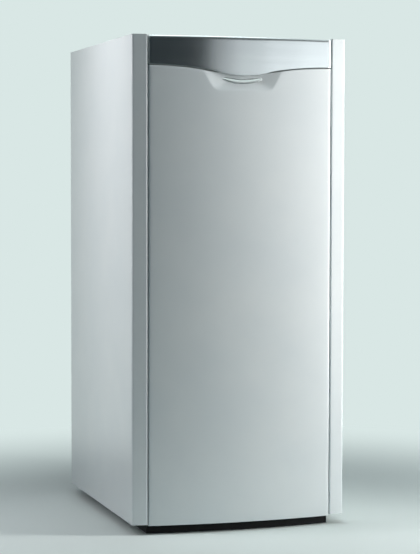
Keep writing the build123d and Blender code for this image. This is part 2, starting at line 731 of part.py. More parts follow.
def base_tray():
    """The base plate with a front upstand and holes for the feet."""
    half = INNER_X - TRAY_SIDE_GAP
    back = BACK_Y - SHEET - TRAY_SIDE_GAP
    tray = block((-half, half), (FRAME_FRONT, back), (TRAY_Z, TRAY_TOP))
    tray += block(
        (-SIDE_X + BASE_INSET, SIDE_X - BASE_INSET),
        (FRAME_FRONT - FRAME_SHEET, FRAME_FRONT),
        (TRAY_Z, TRAY_TOP + TRAY_UPSTAND),
    )
    for x, y in foot_points():
        tray -= rod(FOOT_STUD_RADIUS + MOVING_GAP, (x, y, 0), (0, 0, 1), HEIGHT / 2)
    return tray


def levelling_foot(x, y):
    """A round foot on a threaded stud."""
    foot = rod(FOOT_RADIUS, (x, y, 0), (0, 0, 1), FOOT_THICKNESS)
    foot = chamfer(foot.edges().group_by(Axis.Z)[-1], FRAME_SHEET)
    return foot + rod(FOOT_STUD_RADIUS, (x, y, 0), (0, 0, 1), FOOT_THICKNESS + FOOT_STUD_LENGTH)


def foot_nuts():
    """The welded nuts on the tray that the foot studs turn in."""
    solids = []
    for x, y in foot_points():
        nut = Plane(origin=(x, y, TRAY_TOP)) * RegularPolygon(FOOT_NUT_RADIUS, 6)
        nut = extrude(nut, amount=FOOT_NUT_LENGTH)
        nut -= rod(FOOT_STUD_RADIUS + RUNNING_GAP, (x, y, 0), (0, 0, 1), HEIGHT / 2)
        solids += nut.solids()
    return group(solids)


def front_post():
    """The right front post, an angle open to the inside and the back."""
    post = block(
        (POST_X, FRAME_X),
        (FRAME_FRONT, FRAME_FRONT + FRAME_SHEET),
        (TRAY_TOP, FRAME_TOP),
    )
    return post + block(
        (FRAME_X - FRAME_SHEET, FRAME_X),
        (FRAME_FRONT, FRAME_FRONT + POST_DEPTH),
        (TRAY_TOP, FRAME_TOP),
    )


def rear_post():
    """The right rear post, an angle open to the inside and the front."""
    post = block(
        (POST_X, FRAME_X), (REAR_PLANE - FRAME_SHEET, REAR_PLANE), (TRAY_TOP, FRAME_TOP)
    )
    return post + block(
        (FRAME_X - FRAME_SHEET, FRAME_X),
        (REAR_PLANE - REAR_POST_DEPTH, REAR_PLANE),
        (TRAY_TOP, FRAME_TOP),
    )


def box_rail(y_front, depth, top, height):
    """A square tube between the posts."""
    half = FRAME_X - FRAME_SHEET
    rail = block((-half, half), (y_front, y_front + depth), (top - height, top))
    return rail - block(
        (-SIDE_X, SIDE_X),
        (y_front + FRAME_SHEET, y_front + depth - FRAME_SHEET),
        (top - height + FRAME_SHEET, top - FRAME_SHEET),
    )


def hinge_bracket():
    """The right block that carries a hinge pin, with a foot on the back of the post."""
    inner = COVER_HALF + HINGE_SIDE_GAP
    y_limits = (HINGE_Y - HINGE_EAR_RADIUS, FRAME_FRONT + HINGE_BRACKET_DEPTH)
    z_limits = (FRAME_TOP - HINGE_BRACKET_HEIGHT, HINGE_Z + HINGE_EAR_RADIUS)
    bracket = block((inner, inner + HINGE_BRACKET_WIDTH), y_limits, z_limits)
    bracket += block(
        (inner, POST_X + POST_WIDTH / 2),
        (FRAME_FRONT + FRAME_SHEET, FRAME_FRONT + FRAME_SHEET * 2),
        (z_limits[0], FRAME_TOP),
    )
    start = (0, HINGE_Y, HINGE_Z)
    return bracket - rod(HINGE_PIN_RADIUS, start, (1, 0, 0), SIDE_X)


def hinge_pins():
    """The two pins that the flap turns on."""
    start = (COVER_HALF - HINGE_EAR_WIDTH + RUNNING_GAP, HINGE_Y, HINGE_Z)
    end = COVER_HALF + HINGE_SIDE_GAP + HINGE_BRACKET_WIDTH
    return group(both_sides(rod(HINGE_PIN_RADIUS, start, (1, 0, 0), end - start[0])))


# Controls

def console_housing():
    """The tray that holds the electronics, closed in front by the fascia."""
    half = CONSOLE_HALF
    back = CONSOLE_FRONT + CONSOLE_DEPTH
    wall = CONSOLE_WALL
    housing = block((-half, half), (CONSOLE_FRONT, back), (CROSS_RAIL_TOP, CONSOLE_TOP))
    return housing - block(
        (-half + wall, half - wall),
        (CONSOLE_FRONT - OVERRUN, back - wall),
        (CROSS_RAIL_TOP + wall, CONSOLE_TOP - wall),
    )


def button_xs():
    """The places of the four small buttons across the fascia."""
    return [BUTTON_START_X + BUTTON_PITCH * index for index in range(len(BUTTON_NAMES))]


def fascia_hole(x, radius):
    """A round hole through the fascia."""
    start = (x, FASCIA_FRONT - OVERRUN, CONTROL_Z)
    return rod(radius, start, (0, 1, 0), CONSOLE_WALL + OVERRUN * 2)


def fascia_window(x, half_width, half_height):
    """A rectangular hole through the fascia."""
    return block(
        (x - half_width, x + half_width),
        (FASCIA_FRONT - OVERRUN, CONSOLE_FRONT + OVERRUN),
        (CONTROL_Z - half_height, CONTROL_Z + half_height),
    )


def control_fascia():
    """The panel that carries the controls."""
    fascia = block(
        (-CONSOLE_HALF, CONSOLE_HALF),
        (FASCIA_FRONT, CONSOLE_FRONT),
        (CROSS_RAIL_TOP, CONSOLE_TOP),
    )
    upright = fascia.edges().filter_by(Axis.Y)
    fascia = fillet(upright, CONTROL_EDGE)
    for x in (HEATING_KNOB_X, HOT_WATER_KNOB_X):
        fascia -= fascia_hole(x, KNOB_SHAFT_RADIUS + RUNNING_GAP)
    for x in button_xs():
        fascia -= fascia_hole(x, BUTTON_RADIUS + MOVING_GAP)
    fascia -= fascia_hole(RESET_BUTTON_X, RESET_BUTTON_RADIUS + MOVING_GAP)
    fascia -= fascia_hole(GAUGE_X, GAUGE_RADIUS + FIXED_GAP)
    fascia -= fascia_window(WINDOW_X, WINDOW_HALF + FIXED_GAP, WINDOW_HEIGHT / 2 + FIXED_GAP)
    room = SWITCH_HEIGHT / 2 + SWITCH_ROOM
    return fascia - fascia_window(SWITCH_X, SWITCH_HALF + SWITCH_SIDE_ROOM, room)


def display_window():
    """The clear window with the display module behind it."""
    x_limits = (WINDOW_X - WINDOW_HALF, WINDOW_X + WINDOW_HALF)
    z_limits = (CONTROL_Z - WINDOW_HEIGHT / 2, CONTROL_Z + WINDOW_HEIGHT / 2)
    window = block(x_limits, (FASCIA_FRONT, CONSOLE_FRONT), z_limits)
    rim_x = (x_limits[0] - WINDOW_BORDER, x_limits[1] + WINDOW_BORDER)
    rim_z = (z_limits[0] - WINDOW_BORDER, z_limits[1] + WINDOW_BORDER)
    return window + block(rim_x, (CONSOLE_FRONT, CONSOLE_FRONT + CONSOLE_WALL), rim_z)


def knob(x):
    """A turning knob with a grip bar and its shaft through the fascia."""
    front = FASCIA_FRONT - MOVING_GAP - KNOB_HEIGHT
    cap = rod(KNOB_RADIUS, (x, front, CONTROL_Z), (0, 1, 0), KNOB_HEIGHT)
    cap = chamfer(cap.edges().group_by(Axis.Y)[0], CONTROL_EDGE / 2)
    cap += block(
        (x - KNOB_GRIP_WIDTH / 2, x + KNOB_GRIP_WIDTH / 2),
        (front - KNOB_GRIP_HEIGHT, front),
        (CONTROL_Z - KNOB_RADIUS + CONTROL_EDGE, CONTROL_Z + KNOB_RADIUS - CONTROL_EDGE),
    )
    return cap + rod(
        KNOB_SHAFT_RADIUS, (x, front, CONTROL_Z), (0, 1, 0), KNOB_HEIGHT + KNOB_SHAFT_LENGTH
    )


def push_button(x, radius):
    """A button with a flange behind the fascia that keeps it in."""
    flange_y = CONSOLE_FRONT + MOVING_GAP
    start = (x, FASCIA_FRONT - BUTTON_PROUD, CONTROL_Z)
    length = flange_y + BUTTON_FLANGE_THICKNESS - start[1]
    button = rod(radius, start, (0, 1, 0), length)
    button = chamfer(button.edges().group_by(Axis.Y)[0], CONTROL_EDGE / 4)
    flange_start = (x, flange_y, CONTROL_Z)
    return button + rod(radius + BUTTON_FLANGE, flange_start, (0, 1, 0), BUTTON_FLANGE_THICKNESS)


def switch_pivot(length, radius):
    """The pivot of the main switch, or its bore."""
    start = (SWITCH_X - length / 2, SWITCH_PIVOT_Y, CONTROL_Z)
    return rod(radius, start, (1, 0, 0), length)


def switch_housing():
    """The box behind the fascia that carries the main switch."""
    half = SWITCH_HALF + SWITCH_SIDE_ROOM
    room = SWITCH_HEIGHT / 2 + SWITCH_ROOM
    wall = CONSOLE_WALL
    case = block(
        (SWITCH_X - half - wall, SWITCH_X + half + wall),
        (CONSOLE_FRONT, CONSOLE_FRONT + SWITCH_CASE_DEPTH),
        (CONTROL_Z - room - wall, CONTROL_Z + room + wall),
    )
    case -= block(
        (SWITCH_X - half, SWITCH_X + half),
        (CONSOLE_FRONT - OVERRUN, CONSOLE_FRONT + SWITCH_CASE_DEPTH - wall),
        (CONTROL_Z - room, CONTROL_Z + room),
    )
    return case - switch_pivot(half * 2 + wall, SWITCH_PIN_RADIUS + RUNNING_GAP)


def main_switch_rocker():
    """The rocker of the main switch, resting on its lower half."""
    rocker = block(
        (SWITCH_X - SWITCH_HALF, SWITCH_X + SWITCH_HALF),
        (FASCIA_FRONT - SWITCH_PROUD, SWITCH_PIVOT_Y + SWITCH_BACK),
        (CONTROL_Z - SWITCH_HEIGHT / 2, CONTROL_Z + SWITCH_HEIGHT / 2),
    )
    rocker = chamfer(rocker.edges().group_by(Axis.Y)[-1].filter_by(Axis.X), SWITCH_BACK / 2)
    rocker += switch_pivot((SWITCH_HALF + SWITCH_SIDE_ROOM) * 2 + CONSOLE_WALL / 2, SWITCH_PIN_RADIUS)
    pivot = Axis((SWITCH_X, SWITCH_PIVOT_Y, CONTROL_Z), (1, 0, 0))
    return rocker.rotate(pivot, SWITCH_TILT)


def gauge_case():
    """The pressure gauge's cup, with its bezel and the bore for the pointer's pin."""
    start = (GAUGE_X, GAUGE_FRONT, CONTROL_Z)
    case = rod(GAUGE_RADIUS, start, (0, 1, 0), GAUGE_LENGTH)
    case += rod(GAUGE_RADIUS + GAUGE_BEZEL, start, (0, 1, 0), GAUGE_BEZEL_THICKNESS)
    case -= rod(GAUGE_RADIUS - GAUGE_WALL, start, (0, 1, 0), GAUGE_DIAL_DEPTH)
    bore = POINTER_PIN_RADIUS + RUNNING_GAP
    return case - rod(bore, (GAUGE_X, DIAL_Y, CONTROL_Z), (0, 1, 0), POINTER_PIN_LENGTH)


def gauge_pointer():
    """The pointer on its pin, at rest at the low end of the dial."""
    y = DIAL_Y - MOVING_GAP - POINTER_THICKNESS
    pointer = rod(POINTER_HUB_RADIUS, (GAUGE_X, y, CONTROL_Z), (0, 1, 0), POINTER_THICKNESS)
    pointer += block(
        (GAUGE_X - POINTER_LENGTH, GAUGE_X),
        (y, y + POINTER_THICKNESS),
        (CONTROL_Z - POINTER_WIDTH / 2, CONTROL_Z + POINTER_WIDTH / 2),
    )
    pointer += rod(POINTER_PIN_RADIUS, (GAUGE_X, y, CONTROL_Z), (0, 1, 0), POINTER_PIN_LENGTH)
    middle = Axis((GAUGE_X, y, CONTROL_Z), (0, 1, 0))
    return pointer.rotate(middle, -POINTER_REST_TURN)


def gauge_lens():
    """The clear disc in the gauge's bezel."""
    start = (GAUGE_X, GAUGE_FRONT, CONTROL_Z)
    return rod(GAUGE_RADIUS - GAUGE_WALL - FIXED_GAP, start, (0, 1, 0), GAUGE_LENS_THICKNESS)


# Boiler vessel and heat exchanger

def along_y(radius, x, z, low, high):
    """A round bar parallel to Y."""
    return rod(radius, (x, low, z), (0, 1, 0), high - low)


def upright(radius, x, y, low, high):
    """A round bar parallel to Z."""
    return rod(radius, (x, y, low), (0, 0, 1), high - low)


def door_bolt_points():
    """The places of the burner door's bolts round the vessel's axis."""
    return [
        Vector(DOOR_BOLT_CIRCLE, 0).rotate(Axis.Z, 360 * index / DOOR_BOLT_COUNT)
        for index in range(DOOR_BOLT_COUNT)
    ]


def without_bolt_holes(part):
    """A plate at the front of the vessel, drilled for the burner door's bolts."""
    for point in door_bolt_points():
        x, z = point.X, VESSEL_Z + point.Y
        part -= along_y(DOOR_BOLT_RADIUS + FIXED_GAP, x, z, DOOR_FRONT, VESSEL_FRONT + VESSEL_WALL)
    return part


def boiler_vessel():
    """The water jacket: a drum with end plates round the combustion chamber."""
    vessel = along_y(VESSEL_RADIUS, 0, VESSEL_Z, VESSEL_FRONT, VESSEL_BACK)
    vessel -= along_y(
        VESSEL_RADIUS - VESSEL_WALL,
        0,
        VESSEL_Z,
        VESSEL_FRONT + VESSEL_WALL,
        VESSEL_BACK - VESSEL_WALL,
    )
    vessel -= along_y(CHAMBER_RADIUS + FIXED_GAP, 0, VESSEL_Z, VESSEL_FRONT, VESSEL_FRONT + VESSEL_WALL)
    vessel -= along_y(
        CONNECTING_FLUE_RADIUS + FIXED_GAP,
        CONNECTING_FLUE_X,
        CONNECTING_FLUE_Z,
        VESSEL_BACK - VESSEL_WALL,
        VESSEL_BACK,
    )
    vessel -= along_y(PIPE_RADIUS + FIXED_GAP, FLOW_X, FLOW_Z, VESSEL_BACK - VESSEL_WALL, VESSEL_BACK)
    vessel -= upright(PIPE_RADIUS + FIXED_GAP, 0, LINK_Y, VESSEL_Z - VESSEL_RADIUS, VESSEL_Z - CHAMBER_RADIUS)
    return without_bolt_holes(vessel)


def combustion_chamber():
    """The fire tube with its front flange and the gas outlet in its back."""
    back = VESSEL_FRONT + CHAMBER_LENGTH
    front = VESSEL_FRONT - CHAMBER_FLANGE_THICKNESS
    chamber = along_y(CHAMBER_RADIUS, 0, VESSEL_Z, front, back)
    chamber += along_y(CHAMBER_FLANGE_RADIUS, 0, VESSEL_Z, front, VESSEL_FRONT)
    chamber -= along_y(CHAMBER_RADIUS - CHAMBER_WALL, 0, VESSEL_Z, front, back - CHAMBER_WALL)
    chamber -= along_y(
        CONNECTING_FLUE_RADIUS + FIXED_GAP, CONNECTING_FLUE_X, CONNECTING_FLUE_Z, back - CHAMBER_WALL, back
    )
    return without_bolt_holes(chamber)


def insulation_jacket():
    """The soft insulation round the vessel, with a hole for the pipe below."""
    inner = VESSEL_RADIUS + MOVING_GAP
    start = (0, VESSEL_FRONT + JACKET_INSET, VESSEL_Z)
    length = VESSEL_LENGTH - JACKET_INSET * 2
    jacket = tube(JACKET_RADIUS, JACKET_RADIUS - inner, start, (0, 1, 0), length)
    return jacket - upright(PIPE_RADIUS + SOFT_GAP, 0, LINK_Y, EXCHANGER_TOP, VESSEL_Z)


def burner_door():
    """The thick plate in front of the chamber that carries the burner."""
    back = VESSEL_FRONT - CHAMBER_FLANGE_THICKNESS
    door = along_y(CHAMBER_FLANGE_RADIUS, 0, VESSEL_Z, DOOR_FRONT, back)
    door -= along_y(BLAST_RADIUS + FIXED_GAP, 0, VESSEL_Z, DOOR_FRONT, back)
    return without_bolt_holes(door)


def burner_door_bolts():
    """The hexagon bolts round the burner door."""
    solids = []
    for point in door_bolt_points():
        x, z = point.X, VESSEL_Z + point.Y
        plane = Plane(origin=(x, DOOR_FRONT, z), z_dir=(0, -1, 0))
        bolt = extrude(plane * RegularPolygon(DOOR_BOLT_HEAD_RADIUS, 6), amount=DOOR_BOLT_HEAD)
        bolt += along_y(DOOR_BOLT_RADIUS, x, z, DOOR_FRONT, VESSEL_FRONT + VESSEL_WALL)
        solids += bolt.solids()
    return group(solids)


def vessel_stand():
    """Two portal plates that cradle the vessel above and carry the exchanger below."""
    fronts = (
        VESSEL_FRONT + STAND_FRONT_SETBACK,
        VESSEL_BACK - STAND_REAR_SETBACK,
    )
    window = STAND_HALF - STAND_LEG
    cradle = JACKET_RADIUS + MOVING_GAP
    solids = []
    for front in fronts:
        y_limits = (front, front + STAND_LEG)
        cut_y = (front - OVERRUN, front + STAND_LEG + OVERRUN)
        portal = block((-STAND_HALF, STAND_HALF), y_limits, (TRAY_TOP, STAND_TOP))
        portal -= along_y(cradle, 0, VESSEL_Z, cut_y[0], cut_y[1])
        lower_top = EXCHANGER_BOTTOM - STAND_LEG
        portal -= block((-window, window), cut_y, (TRAY_TOP + FRAME_SHEET, lower_top))
        upper_top = VESSEL_Z - cradle - STAND_BAR
        portal -= block((-window, window), cut_y, (EXCHANGER_BOTTOM, upper_top))
        solids += portal.solids()
    return group(solids)


def condensing_exchanger():
    """The hollow casing of the second heat exchanger with its connections."""
    wall = EXCHANGER_WALL
    half = EXCHANGER_HALF
    exchanger = block(
        (-half, half), (EXCHANGER_FRONT, EXCHANGER_BACK), (EXCHANGER_BOTTOM, EXCHANGER_TOP)
    )
    exchanger -= block(
        (-half + wall, half - wall),
        (EXCHANGER_FRONT + wall, EXCHANGER_BACK - wall),
        (EXCHANGER_BOTTOM + wall, EXCHANGER_TOP - wall),
    )
    top = (EXCHANGER_TOP - wall, EXCHANGER_TOP)
    exchanger -= upright(
        CONNECTING_FLUE_RADIUS + FIXED_GAP, CONNECTING_FLUE_X, CONNECTING_FLUE_Y, top[0], top[1]
    )
    exchanger -= upright(RISER_RADIUS + FIXED_GAP, RISER_X, FLUE_Y, top[0], top[1])
    exchanger -= upright(PIPE_RADIUS + FIXED_GAP, 0, LINK_Y, top[0], top[1])
    bottom = (EXCHANGER_BOTTOM, EXCHANGER_BOTTOM + wall)
    exchanger -= upright(SIPHON_NECK_RADIUS + FIXED_GAP, 0, SIPHON_Y, bottom[0], bottom[1])
    exchanger -= along_y(
        DRAIN_RADIUS + FIXED_GAP, DRAIN_X, DRAIN_Z, EXCHANGER_FRONT, EXCHANGER_FRONT + wall
    )
    return exchanger - along_y(
        PIPE_RADIUS + FIXED_GAP, RETURN_X, RETURN_Z, EXCHANGER_BACK - wall, EXCHANGER_BACK
    )


# Flue and air

def connecting_flue():
    """The gas pipe from the chamber down into the exchanger."""
    points = (
        (CONNECTING_FLUE_X, VESSEL_FRONT + CHAMBER_LENGTH - CHAMBER_WALL, CONNECTING_FLUE_Z),
        (CONNECTING_FLUE_X, CONNECTING_FLUE_Y, CONNECTING_FLUE_Z),
        (CONNECTING_FLUE_X, CONNECTING_FLUE_Y, EXCHANGER_TOP - EXCHANGER_WALL),
    )
    return bent_tube(CONNECTING_FLUE_RADIUS, FLUE_WALL, points, CONNECTING_FLUE_BEND)


def flue_riser():
    """The pipe that takes the cooled flue gas up to the adapter."""
    offset_low = ADAPTER_BOTTOM - RISER_OFFSET_DROP
    points = (
        (RISER_X, FLUE_Y, EXCHANGER_TOP - EXCHANGER_WALL),
        (RISER_X, FLUE_Y, offset_low),
        (0, FLUE_Y, offset_low + RISER_X),
        (0, FLUE_Y, ADAPTER_TOP - ADAPTER_SOCKET),
    )
    return bent_tube(RISER_RADIUS, FLUE_WALL, points, RISER_BEND)


def flue_adapter():
    """The concentric connection for flue gas and combustion air in the lid."""
    start = (0, FLUE_Y, ADAPTER_BOTTOM)
    adapter = tube(FLUE_OUTER_RADIUS, FLUE_OUTER_WALL, start, (0, 0, 1), ADAPTER_HEIGHT)
    inner = FLUE_RADIUS + FLUE_OUTER_WALL
    socket_low = ADAPTER_TOP - ADAPTER_SOCKET
    adapter += upright(inner, 0, FLUE_Y, ADAPTER_BOTTOM, ADAPTER_TOP)
    adapter += upright(FLUE_OUTER_RADIUS, 0, FLUE_Y, ADAPTER_BOTTOM, ADAPTER_BOTTOM + FLUE_OUTER_WALL)
    adapter -= upright(FLUE_RADIUS, 0, FLUE_Y, socket_low, ADAPTER_TOP)
    adapter -= upright(RISER_RADIUS + FIXED_GAP, 0, FLUE_Y, ADAPTER_BOTTOM, socket_low)
    port_start = (-FLUE_OUTER_RADIUS + FLUE_OUTER_WALL, FLUE_Y, AIR_PORT_Z)
    port_radius = DUCT_RADIUS + FIXED_GAP + FLUE_OUTER_WALL
    port = rod(port_radius, port_start, (-1, 0, 0), AIR_PORT_LENGTH)
    port -= upright(FLUE_OUTER_RADIUS - FLUE_OUTER_WALL, 0, FLUE_Y, ADAPTER_BOTTOM, ADAPTER_TOP)
    bore_start = (-inner - FIXED_GAP, FLUE_Y, AIR_PORT_Z)
    return adapter + port - rod(DUCT_RADIUS + FIXED_GAP, bore_start, (-1, 0, 0), SIDE_X)


def air_duct():
    """The smooth hose that brings combustion air down to the burner."""
    points = (
        (-FLUE_OUTER_RADIUS, FLUE_Y, AIR_PORT_Z),
        (DUCT_X, FLUE_Y, AIR_PORT_Z),
        (DUCT_X, FLUE_Y, DUCT_LOW_Z),
        (DUCT_X, BURNER_Y, DUCT_LOW_Z),
        (0, BURNER_Y, DUCT_LOW_Z),
        (0, BURNER_Y, AIR_INLET_BOTTOM + AIR_INLET_STEP - DAMPER_GAP),
    )
    return bent_tube(DUCT_RADIUS, DUCT_WALL, points, DUCT_BEND)


# Burner

def across(radius, y, z, low, high):
    """A round bar parallel to X."""
    return rod(radius, (low, y, z), (1, 0, 0), high - low)


def burner_housing():
    """The fan housing with its outlet to the burner door and its air inlet below."""
    flange_back = DOOR_FRONT
    outlet = BLAST_RADIUS + FIXED_GAP + BURNER_WALL
    inlet_top = BURNER_Z - BURNER_RADIUS / 2
    housing = across(BURNER_RADIUS, BURNER_Y, BURNER_Z, -BURNER_HALF, BURNER_HALF)
    snout = along_y(outlet, 0, VESSEL_Z, BURNER_Y, flange_back)
    snout &= block((-outlet, outlet), (BURNER_Y, flange_back), (0, HEIGHT))
    housing += snout
    housing += along_y(SNOUT_FLANGE_RADIUS, 0, VESSEL_Z, flange_back - SNOUT_FLANGE, flange_back)
    housing += upright(AIR_INLET_RADIUS, 0, BURNER_Y, AIR_INLET_BOTTOM, inlet_top)
    pad_top = BURNER_Z + BURNER_RADIUS + IGNITION_PAD
    pad = block(
        (-IGNITION_HALF, IGNITION_HALF),
        (BURNER_Y - IGNITION_DEPTH / 2, BURNER_Y + IGNITION_DEPTH / 2),
        (BURNER_Z, pad_top),
    )
    housing += pad
    inner_radius = BURNER_RADIUS - BURNER_WALL
    side = BURNER_HALF - BURNER_WALL
    housing -= across(inner_radius, BURNER_Y, BURNER_Z, -side, side)
    housing -= along_y(BLAST_RADIUS + FIXED_GAP, 0, VESSEL_Z, BURNER_Y, flange_back)
    bore = AIR_INLET_RADIUS - BLAST_WALL
    housing -= upright(bore, 0, BURNER_Y, AIR_INLET_BOTTOM + AIR_INLET_STEP, inlet_top)
    housing -= upright(DUCT_RADIUS + FIXED_GAP, 0, BURNER_Y, AIR_INLET_BOTTOM, inlet_top)
    housing -= across(
        SHAFT_RADIUS + SHAFT_HOLE_GAP, BURNER_Y, BURNER_Z, -BURNER_HALF, BURNER_HALF
    )
    return housing - across(
        DAMPER_SPINDLE_RADIUS + RUNNING_GAP, BURNER_Y, DAMPER_Z, -SIDE_X, SIDE_X
    )


def air_damper():
    """The round flap in the air inlet on its spindle, with a lever outside."""
    radius = AIR_INLET_RADIUS - BLAST_WALL - DAMPER_GAP
    low = DAMPER_Z - DAMPER_THICKNESS / 2
    reach = AIR_INLET_RADIUS + BURNER_WALL
    lever_end = reach + DAMPER_LEVER_THICKNESS
    damper = upright(radius, 0, BURNER_Y, low, low + DAMPER_THICKNESS)
    damper += across(DAMPER_SPINDLE_RADIUS, BURNER_Y, DAMPER_Z, -reach, lever_end)
    width = DAMPER_SPINDLE_RADIUS + DAMPER_THICKNESS
    damper += across(width, BURNER_Y, DAMPER_Z, reach, lever_end)
    lever = block(
        (reach, lever_end), (BURNER_Y - DAMPER_LEVER_LENGTH, BURNER_Y), (DAMPER_Z - width, DAMPER_Z + width)
    )
    return damper + lever


def fan_wheel():
    """The fan wheel: a back plate, a ring and curved blades round a hub."""
    low = -FAN_WIDTH / 2
    high = FAN_WIDTH / 2
    inner = FAN_RADIUS - FAN_BLADE_DEPTH
    wheel = across(FAN_RADIUS, BURNER_Y, BURNER_Z, low, low + FAN_PLATE)
    wheel += across(FAN_HUB_RADIUS, BURNER_Y, BURNER_Z, low, high)
    ring = across(FAN_RADIUS, BURNER_Y, BURNER_Z, high - FAN_PLATE, high)
    wheel += ring - across(inner, BURNER_Y, BURNER_Z, high - FAN_PLATE, high)
    blade = block(
        (low, high),
        (BURNER_Y - FAN_BLADE_THICKNESS / 2, BURNER_Y + FAN_BLADE_THICKNESS / 2),
        (BURNER_Z + inner + FAN_PLATE, BURNER_Z + FAN_RADIUS - FAN_PLATE),
    )
    middle = Axis((0, BURNER_Y, BURNER_Z), (1, 0, 0))
    for index in range(FAN_BLADE_COUNT):
        wheel += blade.rotate(middle, 360 * index / FAN_BLADE_COUNT)
    return wheel - across(SHAFT_RADIUS + RUNNING_GAP, BURNER_Y, BURNER_Z, low, high)


def motor_shaft():
    """The shaft through motor, fan and pump."""
    low = -BURNER_HALF - MOTOR_LENGTH + MOTOR_BLIND + RUNNING_GAP
    high = BURNER_HALF + PUMP_LENGTH - PUMP_BLIND - RUNNING_GAP
    return across(SHAFT_RADIUS, BURNER_Y, BURNER_Z, low, high)


def burner_motor():
    """The motor on the left of the burner, with the bore for its shaft."""
    low = -BURNER_HALF - MOTOR_LENGTH
    motor = across(MOTOR_RADIUS, BURNER_Y, BURNER_Z, low, -BURNER_HALF)
    motor = fillet(motor.edges().group_by(Axis.X)[0], MOTOR_EDGE)
    return motor - across(
        SHAFT_RADIUS + RUNNING_GAP, BURNER_Y, BURNER_Z, low + MOTOR_BLIND, -BURNER_HALF
    )


def oil_pump():
    """The oil pump on the right of the burner, with the bore for the shaft."""
    high = BURNER_HALF + PUMP_LENGTH
    pump = across(PUMP_RADIUS, BURNER_Y, BURNER_Z, BURNER_HALF, high)
    pump = chamfer(pump.edges().group_by(Axis.X)[-1], FRAME_SHEET)
    return pump - across(
        SHAFT_RADIUS + RUNNING_GAP, BURNER_Y, BURNER_Z, BURNER_HALF, high - PUMP_BLIND
    )


def blast_tube():
    """The tube that carries air and flame through the burner door."""
    start = (0, DOOR_FRONT - SNOUT_FLANGE, VESSEL_Z)
    return tube(BLAST_RADIUS, BLAST_WALL, start, (0, 1, 0), BLAST_LENGTH)


def nozzle_assembly():
    """The nozzle holder with the slotted baffle that centres it in the blast tube."""
    front = DOOR_FRONT - SNOUT_FLANGE
    baffle_radius = BLAST_RADIUS - BLAST_WALL - FIXED_GAP
    nozzle = along_y(NOZZLE_ROD_RADIUS, 0, VESSEL_Z, front, front + NOZZLE_LENGTH)
    head_end = front + NOZZLE_LENGTH
    nozzle += along_y(
        NOZZLE_HEAD_RADIUS, 0, VESSEL_Z, head_end - NOZZLE_HEAD_LENGTH, head_end
    )
    baffle = along_y(baffle_radius, 0, VESSEL_Z, head_end - BAFFLE_THICKNESS, head_end)
    slot = block(
        (-BAFFLE_SLOT_WIDTH / 2, BAFFLE_SLOT_WIDTH / 2),
        (front, head_end + OVERRUN),
        (VESSEL_Z + BAFFLE_SLOT_INNER, VESSEL_Z + BAFFLE_SLOT_INNER + BAFFLE_SLOT_LENGTH),
    )
    middle = Axis((0, front, VESSEL_Z), (0, 1, 0))
    for index in range(BAFFLE_SLOTS):
        baffle -= slot.rotate(middle, 360 * index / BAFFLE_SLOTS)
    return nozzle + baffle


def ignition_unit():
    """The ignition box on top of the burner."""
    low = BURNER_Z + BURNER_RADIUS + IGNITION_PAD
    unit = block(
        (-IGNITION_HALF, IGNITION_HALF),
        (BURNER_Y - IGNITION_DEPTH / 2, BURNER_Y + IGNITION_DEPTH / 2),
        (low, low + IGNITION_HEIGHT),
    )
    return fillet(unit.edges().filter_by(Axis.Z), CONTROL_EDGE)


# Water, oil and condensate

def threaded_pipe(x, z, start):
    """A pipe from an inner face straight out at the back, with a threaded end."""
    pipe = along_y(PIPE_RADIUS, x, z, start, PIPE_END)
    pipe += along_y(PIPE_THREAD_RADIUS, x, z, PIPE_END - PIPE_THREAD_LENGTH, PIPE_END)
    return pipe - along_y(PIPE_RADIUS - PIPE_WALL, x, z, start, PIPE_END)


def link_pipe():
    """The water pipe from the exchanger up into the vessel."""
    low = EXCHANGER_TOP - EXCHANGER_WALL
    high = VESSEL_Z - VESSEL_RADIUS + VESSEL_WALL
    return tube(PIPE_RADIUS, PIPE_WALL, (0, LINK_Y, low), (0, 0, 1), high - low)


def oil_filter():
    """The oil filter with its bracket on the front leg of the stand."""
    leg_front = VESSEL_FRONT + STAND_FRONT_SETBACK
    head_back = leg_front - FILTER_BRACKET
    head_front = head_back - FILTER_HEAD
    z_limits = (FILTER_Z - FILTER_HEAD_HEIGHT / 2, FILTER_Z + FILTER_HEAD_HEIGHT / 2)
    head = block((OIL_X - FILTER_HEAD / 2, OIL_X + FILTER_HEAD / 2), (head_front, head_back), z_limits)
    head += block((STAND_HALF - STAND_LEG, OIL_X - FILTER_HEAD / 2), (head_back, leg_front), z_limits)
    head += block(
        (OIL_X - FILTER_HEAD / 2 - FILTER_BRACKET, OIL_X - FILTER_HEAD / 2),
        (head_front, leg_front),
        z_limits,
    )
    middle_y = (head_front + head_back) / 2
    bowl = upright(FILTER_BOWL_RADIUS, OIL_X, middle_y, z_limits[0] - FILTER_BOWL_LENGTH, z_limits[0])
    bowl = fillet(bowl.edges().group_by(Axis.Z)[0], FILTER_BOWL_EDGE)
    return head + bowl


